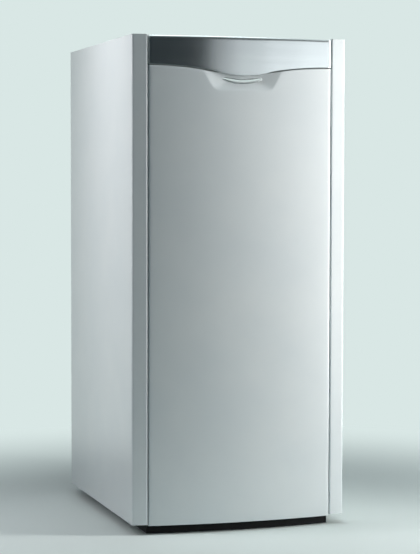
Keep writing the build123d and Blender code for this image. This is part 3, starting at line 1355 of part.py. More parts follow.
def oil_line():
    """The two oil pipes: from the back to the filter, and from the filter to the pump."""
    leg_front = VESSEL_FRONT + STAND_FRONT_SETBACK
    head_back = leg_front - FILTER_BRACKET
    head_front = head_back - FILTER_HEAD
    turn_y = head_back + FILTER_HEAD
    supply = (
        (OIL_X, PIPE_END, OIL_Z),
        (OIL_X, turn_y, OIL_Z),
        (OIL_X, turn_y, FILTER_Z),
        (OIL_X, head_back, FILTER_Z),
    )
    pump_x = BURNER_HALF + PUMP_LENGTH / 2
    feed = (
        (OIL_X, head_front, FILTER_Z),
        (OIL_X, BURNER_Y, FILTER_Z),
        (OIL_X, BURNER_Y, OIL_TURN_Z),
        (pump_x, BURNER_Y, OIL_TURN_Z),
        (pump_x, BURNER_Y, BURNER_Z - PUMP_RADIUS),
    )
    lines = [bent_tube(OIL_RADIUS, OIL_WALL, points, OIL_BEND) for points in (supply, feed)]
    end_start = (OIL_X, PIPE_END - OIL_END_LENGTH, OIL_Z)
    end_wall = OIL_END_RADIUS - OIL_RADIUS + OIL_WALL
    lines[0] += tube(OIL_END_RADIUS, end_wall, end_start, (0, 1, 0), OIL_END_LENGTH)
    return group(solid for line in lines for solid in line.solids())


def condensate_siphon():
    """The trap under the exchanger with its outlet at the back."""
    neck_top = EXCHANGER_BOTTOM + EXCHANGER_WALL
    cup_low = SIPHON_CUP_TOP - SIPHON_CUP_HEIGHT
    siphon = upright(SIPHON_CUP_RADIUS, 0, SIPHON_Y, cup_low, SIPHON_CUP_TOP)
    siphon = fillet(siphon.edges().group_by(Axis.Z)[0], SIPHON_EDGE)
    siphon += upright(SIPHON_NECK_RADIUS, 0, SIPHON_Y, SIPHON_CUP_TOP, neck_top)
    siphon += along_y(CONDENSATE_RADIUS, 0, CONDENSATE_Z, SIPHON_Y, PIPE_END)
    nozzle_start = PIPE_END - CONDENSATE_NOZZLE_LENGTH
    siphon += along_y(CONDENSATE_NOZZLE_RADIUS, 0, CONDENSATE_Z, nozzle_start, PIPE_END)
    siphon -= upright(
        SIPHON_CUP_RADIUS - SIPHON_WALL, 0, SIPHON_Y, cup_low + SIPHON_WALL, SIPHON_CUP_TOP - SIPHON_WALL
    )
    siphon -= upright(SIPHON_NECK_RADIUS - SIPHON_WALL, 0, SIPHON_Y, CONDENSATE_Z, neck_top)
    return siphon - along_y(CONDENSATE_RADIUS - SIPHON_WALL, 0, CONDENSATE_Z, SIPHON_Y, PIPE_END)


def drain_middle_y():
    """Where the drain valve's spindle stands."""
    return EXCHANGER_FRONT - DRAIN_LENGTH + DRAIN_BODY / 2


def drain_valve():
    """The drain valve on the front of the exchanger, with its hose nozzle."""
    middle = drain_middle_y()
    valve = along_y(
        DRAIN_RADIUS, DRAIN_X, DRAIN_Z, EXCHANGER_FRONT - DRAIN_LENGTH, EXCHANGER_FRONT + EXCHANGER_WALL
    )
    half = DRAIN_BODY / 2
    valve += block(
        (DRAIN_X - half, DRAIN_X + half), (middle - half, middle + half), (DRAIN_Z - half, DRAIN_Z + half)
    )
    valve += along_y(
        DRAIN_RADIUS - FRAME_SHEET,
        DRAIN_X,
        DRAIN_Z,
        EXCHANGER_FRONT - DRAIN_LENGTH - DRAIN_BODY,
        EXCHANGER_FRONT - DRAIN_LENGTH,
    )
    bore_top = DRAIN_Z + half
    return valve - upright(
        DRAIN_SPINDLE_RADIUS + RUNNING_GAP, DRAIN_X, middle, bore_top - DRAIN_SPINDLE_LENGTH, bore_top
    )


def drain_lever():
    """The lever of the drain valve, closed across the pipe."""
    middle = drain_middle_y()
    low = DRAIN_Z + DRAIN_BODY / 2 + MOVING_GAP
    high = low + DRAIN_LEVER_THICKNESS
    lever = upright(DRAIN_LEVER_HUB, DRAIN_X, middle, low, high)
    lever += block(
        (DRAIN_X - DRAIN_LEVER_LENGTH, DRAIN_X),
        (middle - DRAIN_LEVER_WIDTH / 2, middle + DRAIN_LEVER_WIDTH / 2),
        (low, high),
    )
    spindle_low = low - DRAIN_SPINDLE_LENGTH
    return lever + upright(DRAIN_SPINDLE_RADIUS, DRAIN_X, middle, spindle_low, high)


def cable_gland():
    """The gland in the back panel where a cable would enter."""
    front = REAR_PLANE - GLAND_LENGTH / 2
    gland = along_y(GLAND_RADIUS - FIXED_GAP, GLAND_X, GLAND_Z, front, front + GLAND_LENGTH)
    plane = Plane(origin=(GLAND_X, REAR_PLANE + SHEET, GLAND_Z), z_dir=(0, 1, 0))
    nut = extrude(plane * RegularPolygon(GLAND_RADIUS + GLAND_NUT_REACH, 6), amount=GLAND_NUT_THICKNESS)
    return gland + nut - along_y(GLAND_BORE, GLAND_X, GLAND_Z, front, front + GLAND_LENGTH)


# The whole boiler

def frame_posts():
    """The four posts, the front ones with their hinge blocks."""
    front = front_post() + hinge_bracket()
    return group(both_sides(front) + both_sides(rear_post()))


def frame_rails():
    """The two rails between the front posts."""
    top = box_rail(LID_FRONT, TOP_RAIL_DEPTH, FRAME_TOP, TOP_RAIL_HEIGHT)
    cross = box_rail(
        FRAME_FRONT + FRAME_SHEET, CROSS_RAIL_DEPTH, CROSS_RAIL_TOP, CROSS_RAIL_HEIGHT
    )
    return group(top.solids() + cross.solids())


def tray_with_nuts():
    """The base tray with its welded foot nuts."""
    return group(base_tray().solids() + foot_nuts().solids())


def all_pieces():
    """Every node of the boiler by name."""
    right_side = side_panel()
    pieces = {
        "right_side_panel": right_side,
        "left_side_panel": mirrored(right_side),
        "front_cover": front_cover(),
        "control_flap": control_flap(),
        "cover_clips": catch_sockets(),
        "cover_studs": catch_studs(),
        "top_cover": top_cover(),
        "rear_panel": rear_panel(),
        "cable_gland": cable_gland(),
        "base_ring": base_ring(),
        "base_tray": tray_with_nuts(),
        "frame_posts": frame_posts(),
        "frame_rails": frame_rails(),
        "hinge_pins": hinge_pins(),
        "console_housing": console_housing(),
        "control_fascia": control_fascia() + switch_housing(),
        "display_window": display_window(),
        "heating_knob": knob(HEATING_KNOB_X),
        "hot_water_knob": knob(HOT_WATER_KNOB_X),
        "burner_reset_button": push_button(RESET_BUTTON_X, RESET_BUTTON_RADIUS),
        "main_switch_rocker": main_switch_rocker(),
        "gauge_case": gauge_case(),
        "gauge_pointer": gauge_pointer(),
        "gauge_lens": gauge_lens(),
        "boiler_vessel": boiler_vessel(),
        "combustion_chamber": combustion_chamber(),
        "insulation_jacket": insulation_jacket(),
        "burner_door": burner_door(),
        "burner_door_bolts": burner_door_bolts(),
        "vessel_stand": vessel_stand(),
        "condensing_exchanger": condensing_exchanger(),
        "connecting_flue": connecting_flue(),
        "flue_riser": flue_riser(),
        "flue_adapter": flue_adapter(),
        "air_duct": air_duct(),
        "burner_housing": burner_housing(),
        "air_damper": air_damper(),
        "fan_wheel": fan_wheel(),
        "motor_shaft": motor_shaft(),
        "burner_motor": burner_motor(),
        "oil_pump": oil_pump(),
        "blast_tube": blast_tube(),
        "nozzle_assembly": nozzle_assembly(),
        "ignition_unit": ignition_unit(),
        "flow_pipe": threaded_pipe(FLOW_X, FLOW_Z, VESSEL_BACK - VESSEL_WALL),
        "return_pipe": threaded_pipe(RETURN_X, RETURN_Z, EXCHANGER_BACK - EXCHANGER_WALL),
        "link_pipe": link_pipe(),
        "oil_filter": oil_filter(),
        "oil_line": oil_line(),
        "condensate_siphon": condensate_siphon(),
        "drain_valve": drain_valve(),
        "drain_lever": drain_lever(),
    }
    for name, x in zip(BUTTON_NAMES, button_xs()):
        pieces[name] = push_button(x, BUTTON_RADIUS)
    for name, (x, y) in zip(FOOT_NAMES, foot_points()):
        pieces[name] = levelling_foot(x, y)
    return pieces


os.makedirs("parts", exist_ok=True)
for name, piece in all_pieces().items():
    export_step(piece, f"parts/{name}.step")
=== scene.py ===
from math import asin, atan2, cos, exp, log, pi, radians, sin, sqrt

import bmesh
import bpy
from mathutils import Matrix, Vector


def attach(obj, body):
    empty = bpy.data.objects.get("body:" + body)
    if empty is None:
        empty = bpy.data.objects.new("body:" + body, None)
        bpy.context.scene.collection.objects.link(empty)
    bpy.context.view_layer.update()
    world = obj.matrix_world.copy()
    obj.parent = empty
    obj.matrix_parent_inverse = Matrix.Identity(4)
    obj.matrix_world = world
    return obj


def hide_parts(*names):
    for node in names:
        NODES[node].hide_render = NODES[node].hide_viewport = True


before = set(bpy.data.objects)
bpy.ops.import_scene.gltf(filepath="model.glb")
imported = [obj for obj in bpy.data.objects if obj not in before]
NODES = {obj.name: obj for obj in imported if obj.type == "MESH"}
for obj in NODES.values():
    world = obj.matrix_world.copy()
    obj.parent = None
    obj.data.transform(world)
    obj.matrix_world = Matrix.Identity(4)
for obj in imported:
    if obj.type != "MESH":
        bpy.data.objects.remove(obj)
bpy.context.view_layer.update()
MM = 0.001

# Camera, as fitted to the photograph; focal length in pixels of the 420 x 554 picture
PHOTO_HEIGHT_PIXELS = 554
FOCAL_PIXELS = 1760.3
SENSOR_MM = 36.0
CAMERA_PLACE = (-1.4334, -4.5639, 0.8834)
CAMERA_YAW = radians(17.689)
CAMERA_PITCH = radians(-3.005)
CAMERA_ROLL = radians(0.099)

# Studio
BACKDROP = "d9e7e5"
FLOOR_COLOUR = "e0ebe9"
ROOM_FILL = "8fb0bf"
ROOM_FILL_STRENGTH = 0.05
FLOOR_RADIUS = 14.0
FLOOR_SEGMENTS = 96

# From the object outwards, the painted floor gives way to the backdrop between these distances
FLOOR_CLEAR_START = 0.4
FLOOR_CLEAR_END = 1.7

# Where glossy rays see the backdrop too: a direction, and where along it that begins and is full
FLOOR_MIRRORED = ((0, 1, 0), 0.2, 1.6)
ROOM_MIRRORED = ((0, 1, 4.0), 0.0, 0.35)

# Lamps: place and aim in metres, width and height, power in watts, tint and spread in degrees.
# A tall strip beside the front shades its bow from light to dark, and a strip beside the left
# panel does the same there.
LAMPS = (
    ("strip_right", (1.1, -0.77, 1.0), (-0.25, -0.35, 0.92), (0.3, 1.75), 12.9, "fffcf9", 130),
    ("strip_left", (-0.9, -0.15, 1.3), (-0.285, -0.12, 0.95), (0.2, 1.8), 4.8, "fdf7f9", 130),
    ("box_above", (0.1, -0.5, 3.2), (0.0, -0.1, 1.0), (1.6, 1.0), 22, "e9f3f8"),
    ("box_behind", (0.9, 3.0, 1.6), (0.0, 0.3, 0.7), (1.8, 2.2), 22, "eef6fa"),
)

# Boxes far off in front, laid over each other, that give the silver flap its ramp: where each one
# starts across, in metres, and its glow
FLAP_RAMP = ((0.65, 0.6), (1.1, 0.4), (1.8, 0.35), (2.6, 0.25))
FLAP_RAMP_END = 3.9
FLAP_RAMP_Y = -4.1
FLAP_RAMP_Y_STEP = 0.02
FLAP_RAMP_Z = 1.35
FLAP_RAMP_HEIGHT = 0.9
FLAP_RAMP_AIM = (0.0, -0.3, 1.2)
FLAP_RAMP_TINT = "edf4f6"

# Patterns of the finishes
EVEN = (1, 1, 1)
NOISE_DETAIL = 2.0
WAVE_SHARE = 0.31
WAVE_DISTORTION = 0.6
CREASE_POWER = 0.5
PATTERN_LOW = 0.3
PATTERN_HIGH = 0.7
ROUGHNESS_PATCH_SHARE = 0.37


def linear(code):
    """An sRGB hex colour as the linear colour that a shader takes."""
    parts = [int(code[i:i + 2], 16) / 255 for i in (0, 2, 4)]
    return [p / 12.92 if p <= 0.04045 else ((p + 0.055) / 1.055) ** 2.4 for p in parts] + [1.0]


def put(tree, kind, inputs=None, **settings):
    """Adds a node with its settings; each input is a value, or the output that feeds it."""
    made = tree.nodes.new(kind)
    for key, value in settings.items():
        setattr(made, key, value)
    for key, value in (inputs or {}).items():
        if isinstance(value, bpy.types.NodeSocket):
            tree.links.new(value, made.inputs[key])
        else:
            made.inputs[key].default_value = value
    return made


def pattern(tree, kind, size, stretch=EVEN):
    """A noise, cell or wave pattern on the piece, with features of that size in metres."""
    place = put(tree, "ShaderNodeTexCoord").outputs["Object"]
    place = put(tree, "ShaderNodeMapping", {"Vector": place, "Scale": stretch}).outputs["Vector"]
    if kind == "noise":
        made = put(tree, "ShaderNodeTexNoise", {
            "Vector": place, "Scale": 1 / size, "Detail": NOISE_DETAIL})
        return made.outputs["Fac"]
    if kind == "cells":
        made = put(tree, "ShaderNodeTexVoronoi", {"Vector": place, "Scale": 1 / size})
        return put(tree, "ShaderNodeSeparateColor", {"Color": made.outputs["Color"]}).outputs["Red"]
    if kind == "creases":
        made = put(tree, "ShaderNodeTexVoronoi", {"Vector": place, "Scale": 1 / size},
                   feature="DISTANCE_TO_EDGE")
        return put(tree, "ShaderNodeMath", {0: made.outputs["Distance"], 1: CREASE_POWER},
                   operation="POWER").outputs["Value"]
    made = put(tree, "ShaderNodeTexWave", {
        "Vector": place, "Scale": WAVE_SHARE / size, "Distortion": WAVE_DISTORTION},
        bands_direction="Z")
    return made.outputs["Fac"]


def between(tree, factor, low, high):
    """A number that runs from low to high with a pattern."""
    made = put(tree, "ShaderNodeMapRange", {
        "Value": factor, "From Min": PATTERN_LOW, "From Max": PATTERN_HIGH,
        "To Min": low, "To Max": high})
    return made.outputs["Result"]


def surface(name, tones, patch, roughness, reliefs, patch_kind="noise", stretch=EVEN,
            **constants):
    """A finish: two tones over patches, roughness between two values, and reliefs.

    A relief is its kind, the size of its features and its height, in metres, and its stretch.
    """
    made = bpy.data.materials.new(name)
    made.use_nodes = True
    tree = made.node_tree
    tree.nodes.clear()
    spread = pattern(tree, patch_kind, patch, stretch)
    colour = put(tree, "ShaderNodeMix", {"Factor": between(tree, spread, 0, 1)}, data_type="RGBA")
    colour.inputs[6].default_value = linear(tones[0])
    colour.inputs[7].default_value = linear(tones[1])
    uneven = pattern(tree, "noise", patch * ROUGHNESS_PATCH_SHARE, stretch)
    rough = between(tree, uneven, *roughness)
    inputs = {"Base Color": colour.outputs[2], "Roughness": rough}
    normal = None
    for kind, size, height, pull in reliefs:
        bump = {"Height": pattern(tree, kind, size, pull), "Distance": height, "Strength": 1.0}
        if normal:
            bump["Normal"] = normal
        normal = put(tree, "ShaderNodeBump", bump).outputs["Normal"]
    if normal:
        inputs["Normal"] = normal
    for key, value in constants.items():
        inputs[key.replace("_", " ").title().replace("Ior", "IOR")] = value
    shader = put(tree, "ShaderNodeBsdfPrincipled", inputs)
    put(tree, "ShaderNodeOutputMaterial", {"Surface": shader.outputs["BSDF"]})
    return made


FINISHES = {
    # Polyester powder coat on steel sheet: satin white with a faint orange peel
    "casing_white": surface(
        "powder_coated_steel_white", ("dfe7ea", "e4ebed"), 0.14, (0.32, 0.38),
        [("noise", 0.0035, 0.00002, EVEN)], Coat_Weight=0.6, Coat_Roughness=0.24, Coat_Ior=1.6),
    # Silver lacquer over fine brushing along the band: long soft reflections
    "flap_silver": surface(
        "brushed_silver_lacquer", ("d4d8da", "d8dcdd"), 0.03, (0.155, 0.17),
        [("noise", 0.0012, 0.000001, (0.02, 0.02, 1))], stretch=(0.03, 0.03, 1),
        Metallic=0.95, Coat_Weight=0.3, Coat_Roughness=0.15),
    # Hot-dip galvanised sheet: zinc spangles of 8 to 15 mm, dull bright grey
    "galvanised_sheet": surface(
        "galvanised_steel_sheet", ("9aa1a4", "a5acaf"), 0.009, (0.36, 0.46),
        [("noise", 0.004, 0.00003, EVEN)], patch_kind="cells", Metallic=0.9),
    # Black powder coat on the plinth: fine texture, almost matt
    "base_black": surface(
        "black_textured_powder_coat", ("060708", "0b0c0e"), 0.05, (0.55, 0.68),
        [("noise", 0.0015, 0.00008, EVEN)], Specular_Ior_Level=0.25),
    # Zinc-plated turned steel: fine tool rings, slightly yellow
    "steel_frame": surface(
        "zinc_plated_steel", ("9a9b95", "b3b5b0"), 0.01, (0.25, 0.4),
        [("noise", 0.0006, 0.00002, (0.2, 0.2, 1))], Metallic=1.0),
    # Moulded ABS with an eroded texture: soft black
    "black_plastic": surface(
        "moulded_abs_black", ("151617", "1d1f21"), 0.03, (0.42, 0.55),
        [("noise", 0.0008, 0.00003, EVEN)]),
    # Moulded ABS, light grey, fine eroded texture
    "grey_plastic": surface(
        "moulded_abs_grey", ("8d9598", "979fa2"), 0.06, (0.45, 0.55),
        [("noise", 0.0009, 0.00003, EVEN)]),
    # Satin chrome plating on ABS: bright, with soft-edged reflections
    "silver_plastic": surface(
        "satin_chrome_plated_abs", ("eef0f0", "f5f6f6"), 0.02, (0.2, 0.25),
        [("noise", 0.0009, 0.000002, EVEN)], Metallic=1.0),
    # Translucent red moulded plastic of the reset button
    "red_plastic": surface(
        "moulded_plastic_red", ("a8150f", "b51d15"), 0.01, (0.25, 0.32),
        [("noise", 0.001, 0.00001, EVEN)], Coat_Weight=0.4),
    # Dark glass over a liquid-crystal display: glossy, near black green
    "display_glass": surface(
        "display_glass", ("101a1c", "142023"), 0.03, (0.05, 0.09),
        [("noise", 0.02, 0.00001, EVEN)], Coat_Weight=1.0, Coat_Roughness=0.02),
    # Lacquered red sheet of the gauge's needle
    "pointer_red": surface(
        "lacquered_needle_red", ("b0170f", "bd2016"), 0.004, (0.35, 0.42),
        [("noise", 0.0007, 0.00001, EVEN)]),
    # Clear acrylic lens: smooth and clear, with a faint moulding ripple
    "clear_lens": surface(
        "clear_acrylic", ("f4f8f8", "fafcfc"), 0.01, (0.02, 0.05),
        [("noise", 0.008, 0.00001, EVEN)], Transmission_Weight=1.0, Ior=1.49),
    # Boiler steel, black heat-proof lacquer with rolling scale
    "boiler_steel": surface(
        "lacquered_boiler_steel", ("2a2c2e", "3a3d3f"), 0.05, (0.45, 0.62),
        [("noise", 0.006, 0.00015, EVEN)], Metallic=0.2),
    # Stainless steel, ground along its length, with a straw heat tint
    "stainless_steel": surface(
        "ground_stainless_steel", ("9c9b96", "b2b0a8"), 0.06, (0.22, 0.38),
        [("noise", 0.0015, 0.00002, (1, 0.04, 1))], Metallic=1.0),
    # Aluminium foil on glass wool: sharp creases over a soft, padded surface
    "insulation": surface(
        "foil_faced_glass_wool", ("b4b8ba", "c9cdce"), 0.02, (0.26, 0.42),
        [("creases", 0.028, 0.0012, EVEN), ("noise", 0.07, 0.003, EVEN)], Metallic=0.95),
    # Cast iron door with grey heat-proof paint: sand-cast skin
    "cast_door": surface(
        "painted_cast_iron", ("4c5053", "5b6063"), 0.03, (0.5, 0.68),
        [("noise", 0.003, 0.0003, EVEN)], Metallic=0.3),
    # Talc-filled polypropylene shell of the exchanger: dull dark grey moulding
    "exchanger_plastic": surface(
        "moulded_polypropylene_grey", ("3a4043", "454b4e"), 0.05, (0.48, 0.6),
        [("noise", 0.0015, 0.00006, EVEN)]),
    # Flue plastic: smooth white-grey polypropylene, extrusion lines along the pipe
    "flue_plastic": surface(
        "extruded_polypropylene_light", ("d2d5d3", "dcdedc"), 0.08, (0.3, 0.4),
        [("noise", 0.003, 0.00004, (1, 1, 0.06))]),
    # Ribbed air hose, moulded in grey polyethylene
    "duct_grey": surface(
        "moulded_polyethylene_grey", ("5e6568", "6a7174"), 0.03, (0.45, 0.58),
        [("waves", 0.008, 0.0011, EVEN)]),
    # Die-cast aluminium of the burner, shot blasted
    "cast_burner": surface(
        "die_cast_aluminium_painted", ("6b7072", "7b8082"), 0.02, (0.4, 0.55),
        [("noise", 0.0016, 0.00012, EVEN)], Metallic=0.6),
    # Black stoved paint on the motor
    "motor_black": surface(
        "stoved_enamel_black", ("131415", "1c1e1f"), 0.02, (0.3, 0.42),
        [("noise", 0.004, 0.00008, EVEN)]),
    # Die-cast aluminium left bare: grainy light grey
    "pump_aluminium": surface(
        "die_cast_aluminium", ("94989a", "a9adaf"), 0.012, (0.34, 0.5),
        [("noise", 0.0014, 0.0001, EVEN)], Metallic=0.95),
    # Turned brass, slightly tarnished
    "brass": surface(
        "turned_brass", ("9a7636", "b8924a"), 0.012, (0.22, 0.38),
        [("noise", 0.0008, 0.00002, (0.3, 0.3, 1))], Metallic=1.0),
    # Drawn copper tube with darker oxide clouds
    "copper_pipe": surface(
        "drawn_copper", ("8c4a2c", "b8694a"), 0.035, (0.24, 0.42),
        [("noise", 0.002, 0.00003, EVEN)], Metallic=1.0),
    # PVC-dipped steel lever: smooth thick red coat
    "lever_red": surface(
        "pvc_dipped_red", ("9d1a14", "ad241c"), 0.008, (0.38, 0.48),
        [("noise", 0.003, 0.00008, EVEN)]),
}
for node in NODES.values():
    for place in node.material_slots:
        place.material = FINISHES[place.material.name.split(".")[0]]


# Sizes of the visible sheets in millimetres. DOOR_HALF and SEAM_GAP leave narrower gaps than the
# solids do, which need room to move.
BOW_RADIUS = 1637.0
FRONT = -345.5
DOOR_HALF = 242.9
DOOR_LOW = 23.0
DOOR_REACH = 16.0
DOOR_BEND = 3.0
BEND_STEPS = 4
SHEET = 1.5
SEAM_SHOULDER = ((246.5, 1183.0), (168.0, 1180.0), (79.0, 1169.0))
TONGUE = ((79.0, 1169.0), (0.0, 1157.0), (-79.0, 1169.0))
SEAM_GAP = 2.0
FLAP_TOP = 1255.0
FLAP_REAR = -286.0

# How far the door laps up behind the flap's tongue, and between which places across it fades out.
# The solids don't lap. Pulled with the flap shut, the two skins pass through each other here.
TONGUE_LAP = 1.5
LAP_FADE_START = 50
LAP_FADE_END = 80

# How finely the sheets are divided, in millimetres or in rows, and what counts as an open corner
DOOR_STEP = 1.6
FLAP_STEP = 4.0
PLAIN_STEP = 8
LOW_ROW_STEP = 30
RECESS_ROWS = 56
FLAP_ROWS = 14
ROLL_ROWS = 8
CORNER_MARGIN = 0.1
SHARP_SHEET = 35
SHARP_TRIM = 60

# The grip recess of the door: its mouth, its sloping sides, its floor
MOUTH_HALF = 105.5
MOUTH_Z = 1171.0
MOUTH_TAPER = 0.56
SIDE_SLOPE = 0.22
FLOOR_DEPTH = 11.0
FLOOR_START = 1115.0
FLOOR_END = 1148.0
RECESS_SOFTNESS = 2.0
RIM_SOFTNESS = 0.35
RIM_DEPTH = 3
RECESS_MARGIN = 12
RECESS_LOW = 1104.0
RECESS_HALF = 114.0

# The lower edge of the flap and the upper edge of the door: sharper and less deep at the tongue
ROLL_HEIGHT = 1.0
CRISP_SHARE = 0.2
CRISP_END = 100.0
TONGUE_REACH = 7.0
TONGUE_REACH_END = 125

# Ears under the flap's shelf, with their bosses
EAR_LOW = (240.0, -320.5, 1239.0)
EAR_EDGE = 0.4
BOSS_PLACE = (238.0, -300.0, 1247.0)
BOSS_RADIUS = 8
BOSS_LENGTH = 7
BOSS_SEGMENTS = 32

# Lip across the recess
LIP_ARC = ((-57.0, 1149.5), (0.0, 1137.5), (57.0, 1149.5))
LIP_HALF_HEIGHT = 11.0
LIP_UNDER_SHARE = 0.05
LIP_PROUD = 3.0
LIP_Y = -335.0
LIP_STEPS = 60
LIP_SEGMENTS = 20
LIP_MERGE = 0.01
LIP_END_POWER = 3.5
LIP_BACK_SHARE = 0.25

# Prints on the console
GAUGE_X = -187.9
DIAL_Y = -302.0
CONTROL_Z = 1203.0
FASCIA_FRONT = -307.0
HEATING_KNOB_X = -85.8
HOT_WATER_KNOB_X = 148.5
GAUGE_PRINT_LIFT = 0.2
KNOB_PRINT_LIFT = 0.1
PRINT_THICKNESS = 0.12
PRINT_EDGE_DIVISOR = 3
DIAL_RADII = (2.0, 14.4)
DIAL_SEGMENTS = 48
FIGURE_HEIGHT = 15.0
FIGURE_WIDTH = 8.0
FIGURE_STROKE = 1.5
BAR_CUT_SHARE = 1.2
# Each bar of a figure: how far across, how far up, and whether it stands upright
SEGMENTS = {"a": (0, 1, False), "b": (1, 0.5, True), "c": (1, -0.5, True), "d": (0, -1, False),
            "e": (-1, -0.5, True), "f": (-1, 0.5, True), "g": (0, 0, False)}
DISPLAY_FIGURES = ((-12.0, "acdefg"), (1.0, "abcdef"))
# Rings of marks: middle, radius, length and width of a mark, first angle, turn and steps
GAUGE_SCALE_PLACE = (GAUGE_X, DIAL_Y - GAUGE_PRINT_LIFT, CONTROL_Z)
KNOB_SCALE_Y = FASCIA_FRONT - KNOB_PRINT_LIFT
KNOB_MARKS = (18.6, (2.8, 0.7), 135, 270, 10)
SCALES = (
    ("gauge_scale", GAUGE_SCALE_PLACE, 12.3, (2.6, 0.7), 150, 240, 8),
    ("gauge_fine_scale", GAUGE_SCALE_PLACE, 13.0, (1.2, 0.35), 150, 240, 40),
    ("heating_knob_scale", (HEATING_KNOB_X, KNOB_SCALE_Y, CONTROL_Z), *KNOB_MARKS),
    ("hot_water_knob_scale", (HOT_WATER_KNOB_X, KNOB_SCALE_Y, CONTROL_Z), *KNOB_MARKS),
)
# Card of the gauge's dial, printed matt white
DIAL_CARD = surface("printed_dial_card", ("eceeed", "f2f3f2"), 0.01, (0.4, 0.5),
                    [("noise", 0.0006, 0.000004, EVEN)])
# Bars of the liquid-crystal display, pale green: painted glow of the lit display, as a plain
# colour; the bars give no light
PAINTED_GLOW_BARS = surface("liquid_crystal_bars_painted_glow", ("a9cfc4", "b4d8cd"), 0.004, (0.25, 0.3),
                   [("noise", 0.0004, 0.000002, EVEN)])


def bow(x):
    """How far forward the curved front reaches at a place across the width."""
    return FRONT + BOW_RADIUS - sqrt(BOW_RADIUS ** 2 - x ** 2)


def circle(points):
    """The middle and radius of the circle through three points."""
    (ax, az), (bx, bz), (cx, cz) = points
    spread = 2 * (ax * (bz - cz) + bx * (cz - az) + cx * (az - bz))
    a, b, c = (x * x + z * z for x, z in points)
    x = (a * (bz - cz) + b * (cz - az) + c * (az - bz)) / spread
    z = (a * (cx - bx) + b * (ax - cx) + c * (bx - ax)) / spread
    return x, z, sqrt((ax - x) ** 2 + (az - z) ** 2)


SHOULDER_CIRCLE = circle(SEAM_SHOULDER)
TONGUE_CIRCLE = circle(TONGUE)


def ease(value, start, end):
    """Runs smoothly from 0 at the start to 1 at the end."""
    share = min(1.0, max(0.0, (value - start) / (end - start)))
    return share * share * (3 - 2 * share)


def seam(x):
    """Height of the seam between flap and door."""
    x = abs(x)
    if x < TONGUE[0][0]:
        middle_x, middle_z, radius = TONGUE_CIRCLE
        return middle_z - sqrt(radius ** 2 - (x - middle_x) ** 2)
    middle_x, middle_z, radius = SHOULDER_CIRCLE
    return middle_z + sqrt(radius ** 2 - (x - middle_x) ** 2)


def door_top(x):
    """Upper edge of the door: a gap below the seam, but lapped above it behind the tongue."""
    return seam(x) + TONGUE_LAP - (SEAM_GAP + TONGUE_LAP) * ease(
        abs(x), LAP_FADE_START, LAP_FADE_END)


def softly_least(a, b, softness):
    """The smaller of two numbers, blended where they are close."""
    low = min(a, b)
    return low - softness * log(exp((low - a) / softness) + exp((low - b) / softness))


def recess(x, z):
    """How deep the grip recess is pressed at a place on the door."""
    if z < RECESS_LOW or abs(x) > MOUTH_HALF + RECESS_MARGIN:
        return 0.0
    side = SIDE_SLOPE * (MOUTH_HALF - MOUTH_TAPER * (MOUTH_Z - z) - abs(x))
    floor = FLOOR_DEPTH * ease(z, FLOOR_START, FLOOR_END)
    depth = softly_least(side, floor, RECESS_SOFTNESS)
    return -softly_least(-depth, 0.0, RIM_SOFTNESS) if depth < RIM_DEPTH else depth


def folded_edge(reach, bend):
    """How far in and how deep a folded edge lies, from the end of its flange to the flat."""
    edge = [(0.0, reach), (0.0, (reach + bend) / 2)]
    for step in range(BEND_STEPS + 1):
        turn = pi / 2 * step / BEND_STEPS
        edge.append((bend * (1 - cos(turn)), bend * (1 - sin(turn))))
    return edge


def spaced(start, end, step):
    """Places from start up to end, evenly, about a step apart, with both ends."""
    count = max(1, round((end - start) / step))
    return [start + (end - start) * i / count for i in range(count + 1)]


def finished(mesh_data, name, body, node, slot, sharp=SHARP_SHEET):
    """Makes an object of a bmesh in millimetres, with the finish of its slot, on its body."""
    bmesh.ops.scale(mesh_data, vec=(MM, MM, MM), verts=mesh_data.verts)
    mesh = bpy.data.meshes.new(name)
    mesh_data.to_mesh(mesh)
    mesh_data.free()
    for face in mesh.polygons:
        face.use_smooth = True
    mesh.set_sharp_from_angle(angle=radians(sharp))
    piece = bpy.data.objects.new(name, mesh)
    bpy.context.scene.collection.objects.link(piece)
    mesh.materials.append(FINISHES[slot])
    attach(piece, body)
    if node:
        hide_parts(node)
    return piece


def folded(side, edge):
    """How deep a point lies that is on a side fold, on an upper or lower fold, or on both."""
    flat = (1 - min(side, DOOR_BEND) / DOOR_BEND) * (1 - min(edge, DOOR_BEND) / DOOR_BEND)
    return DOOR_BEND * (1 - flat) + max(0, side - DOOR_BEND, edge - DOOR_BEND)


def pressed_sheet(columns, rows, place):
    """A grid over columns and rows whose points a function puts in place, facing forward."""
    sheet = bmesh.new()
    across, up = len(columns) - 1, len(rows) - 1
    bmesh.ops.create_grid(sheet, x_segments=across, y_segments=up, size=1)
    open_corners = []
    for point in sheet.verts:
        column = columns[round((point.co.x + 1) / 2 * across)]
        row = rows[round((point.co.y + 1) / 2 * up)]
        point.co = place(column, row)
        if min(column[1], row[2]) > DOOR_BEND + CORNER_MARGIN:
            open_corners.append(point)
    bmesh.ops.delete(sheet, geom=open_corners, context="VERTS")
    bmesh.ops.recalc_face_normals(sheet, faces=sheet.faces)
    if sum(face.normal.y for face in sheet.faces) > 0:
        bmesh.ops.reverse_faces(sheet, faces=sheet.faces)
    return sheet


def walled(piece):
    """Gives a sheet its thickness, inwards from the seen face."""
    wall = piece.modifiers.new("wall", "SOLIDIFY")
    wall.thickness = SHEET * MM
    wall.offset = -1
    return piece


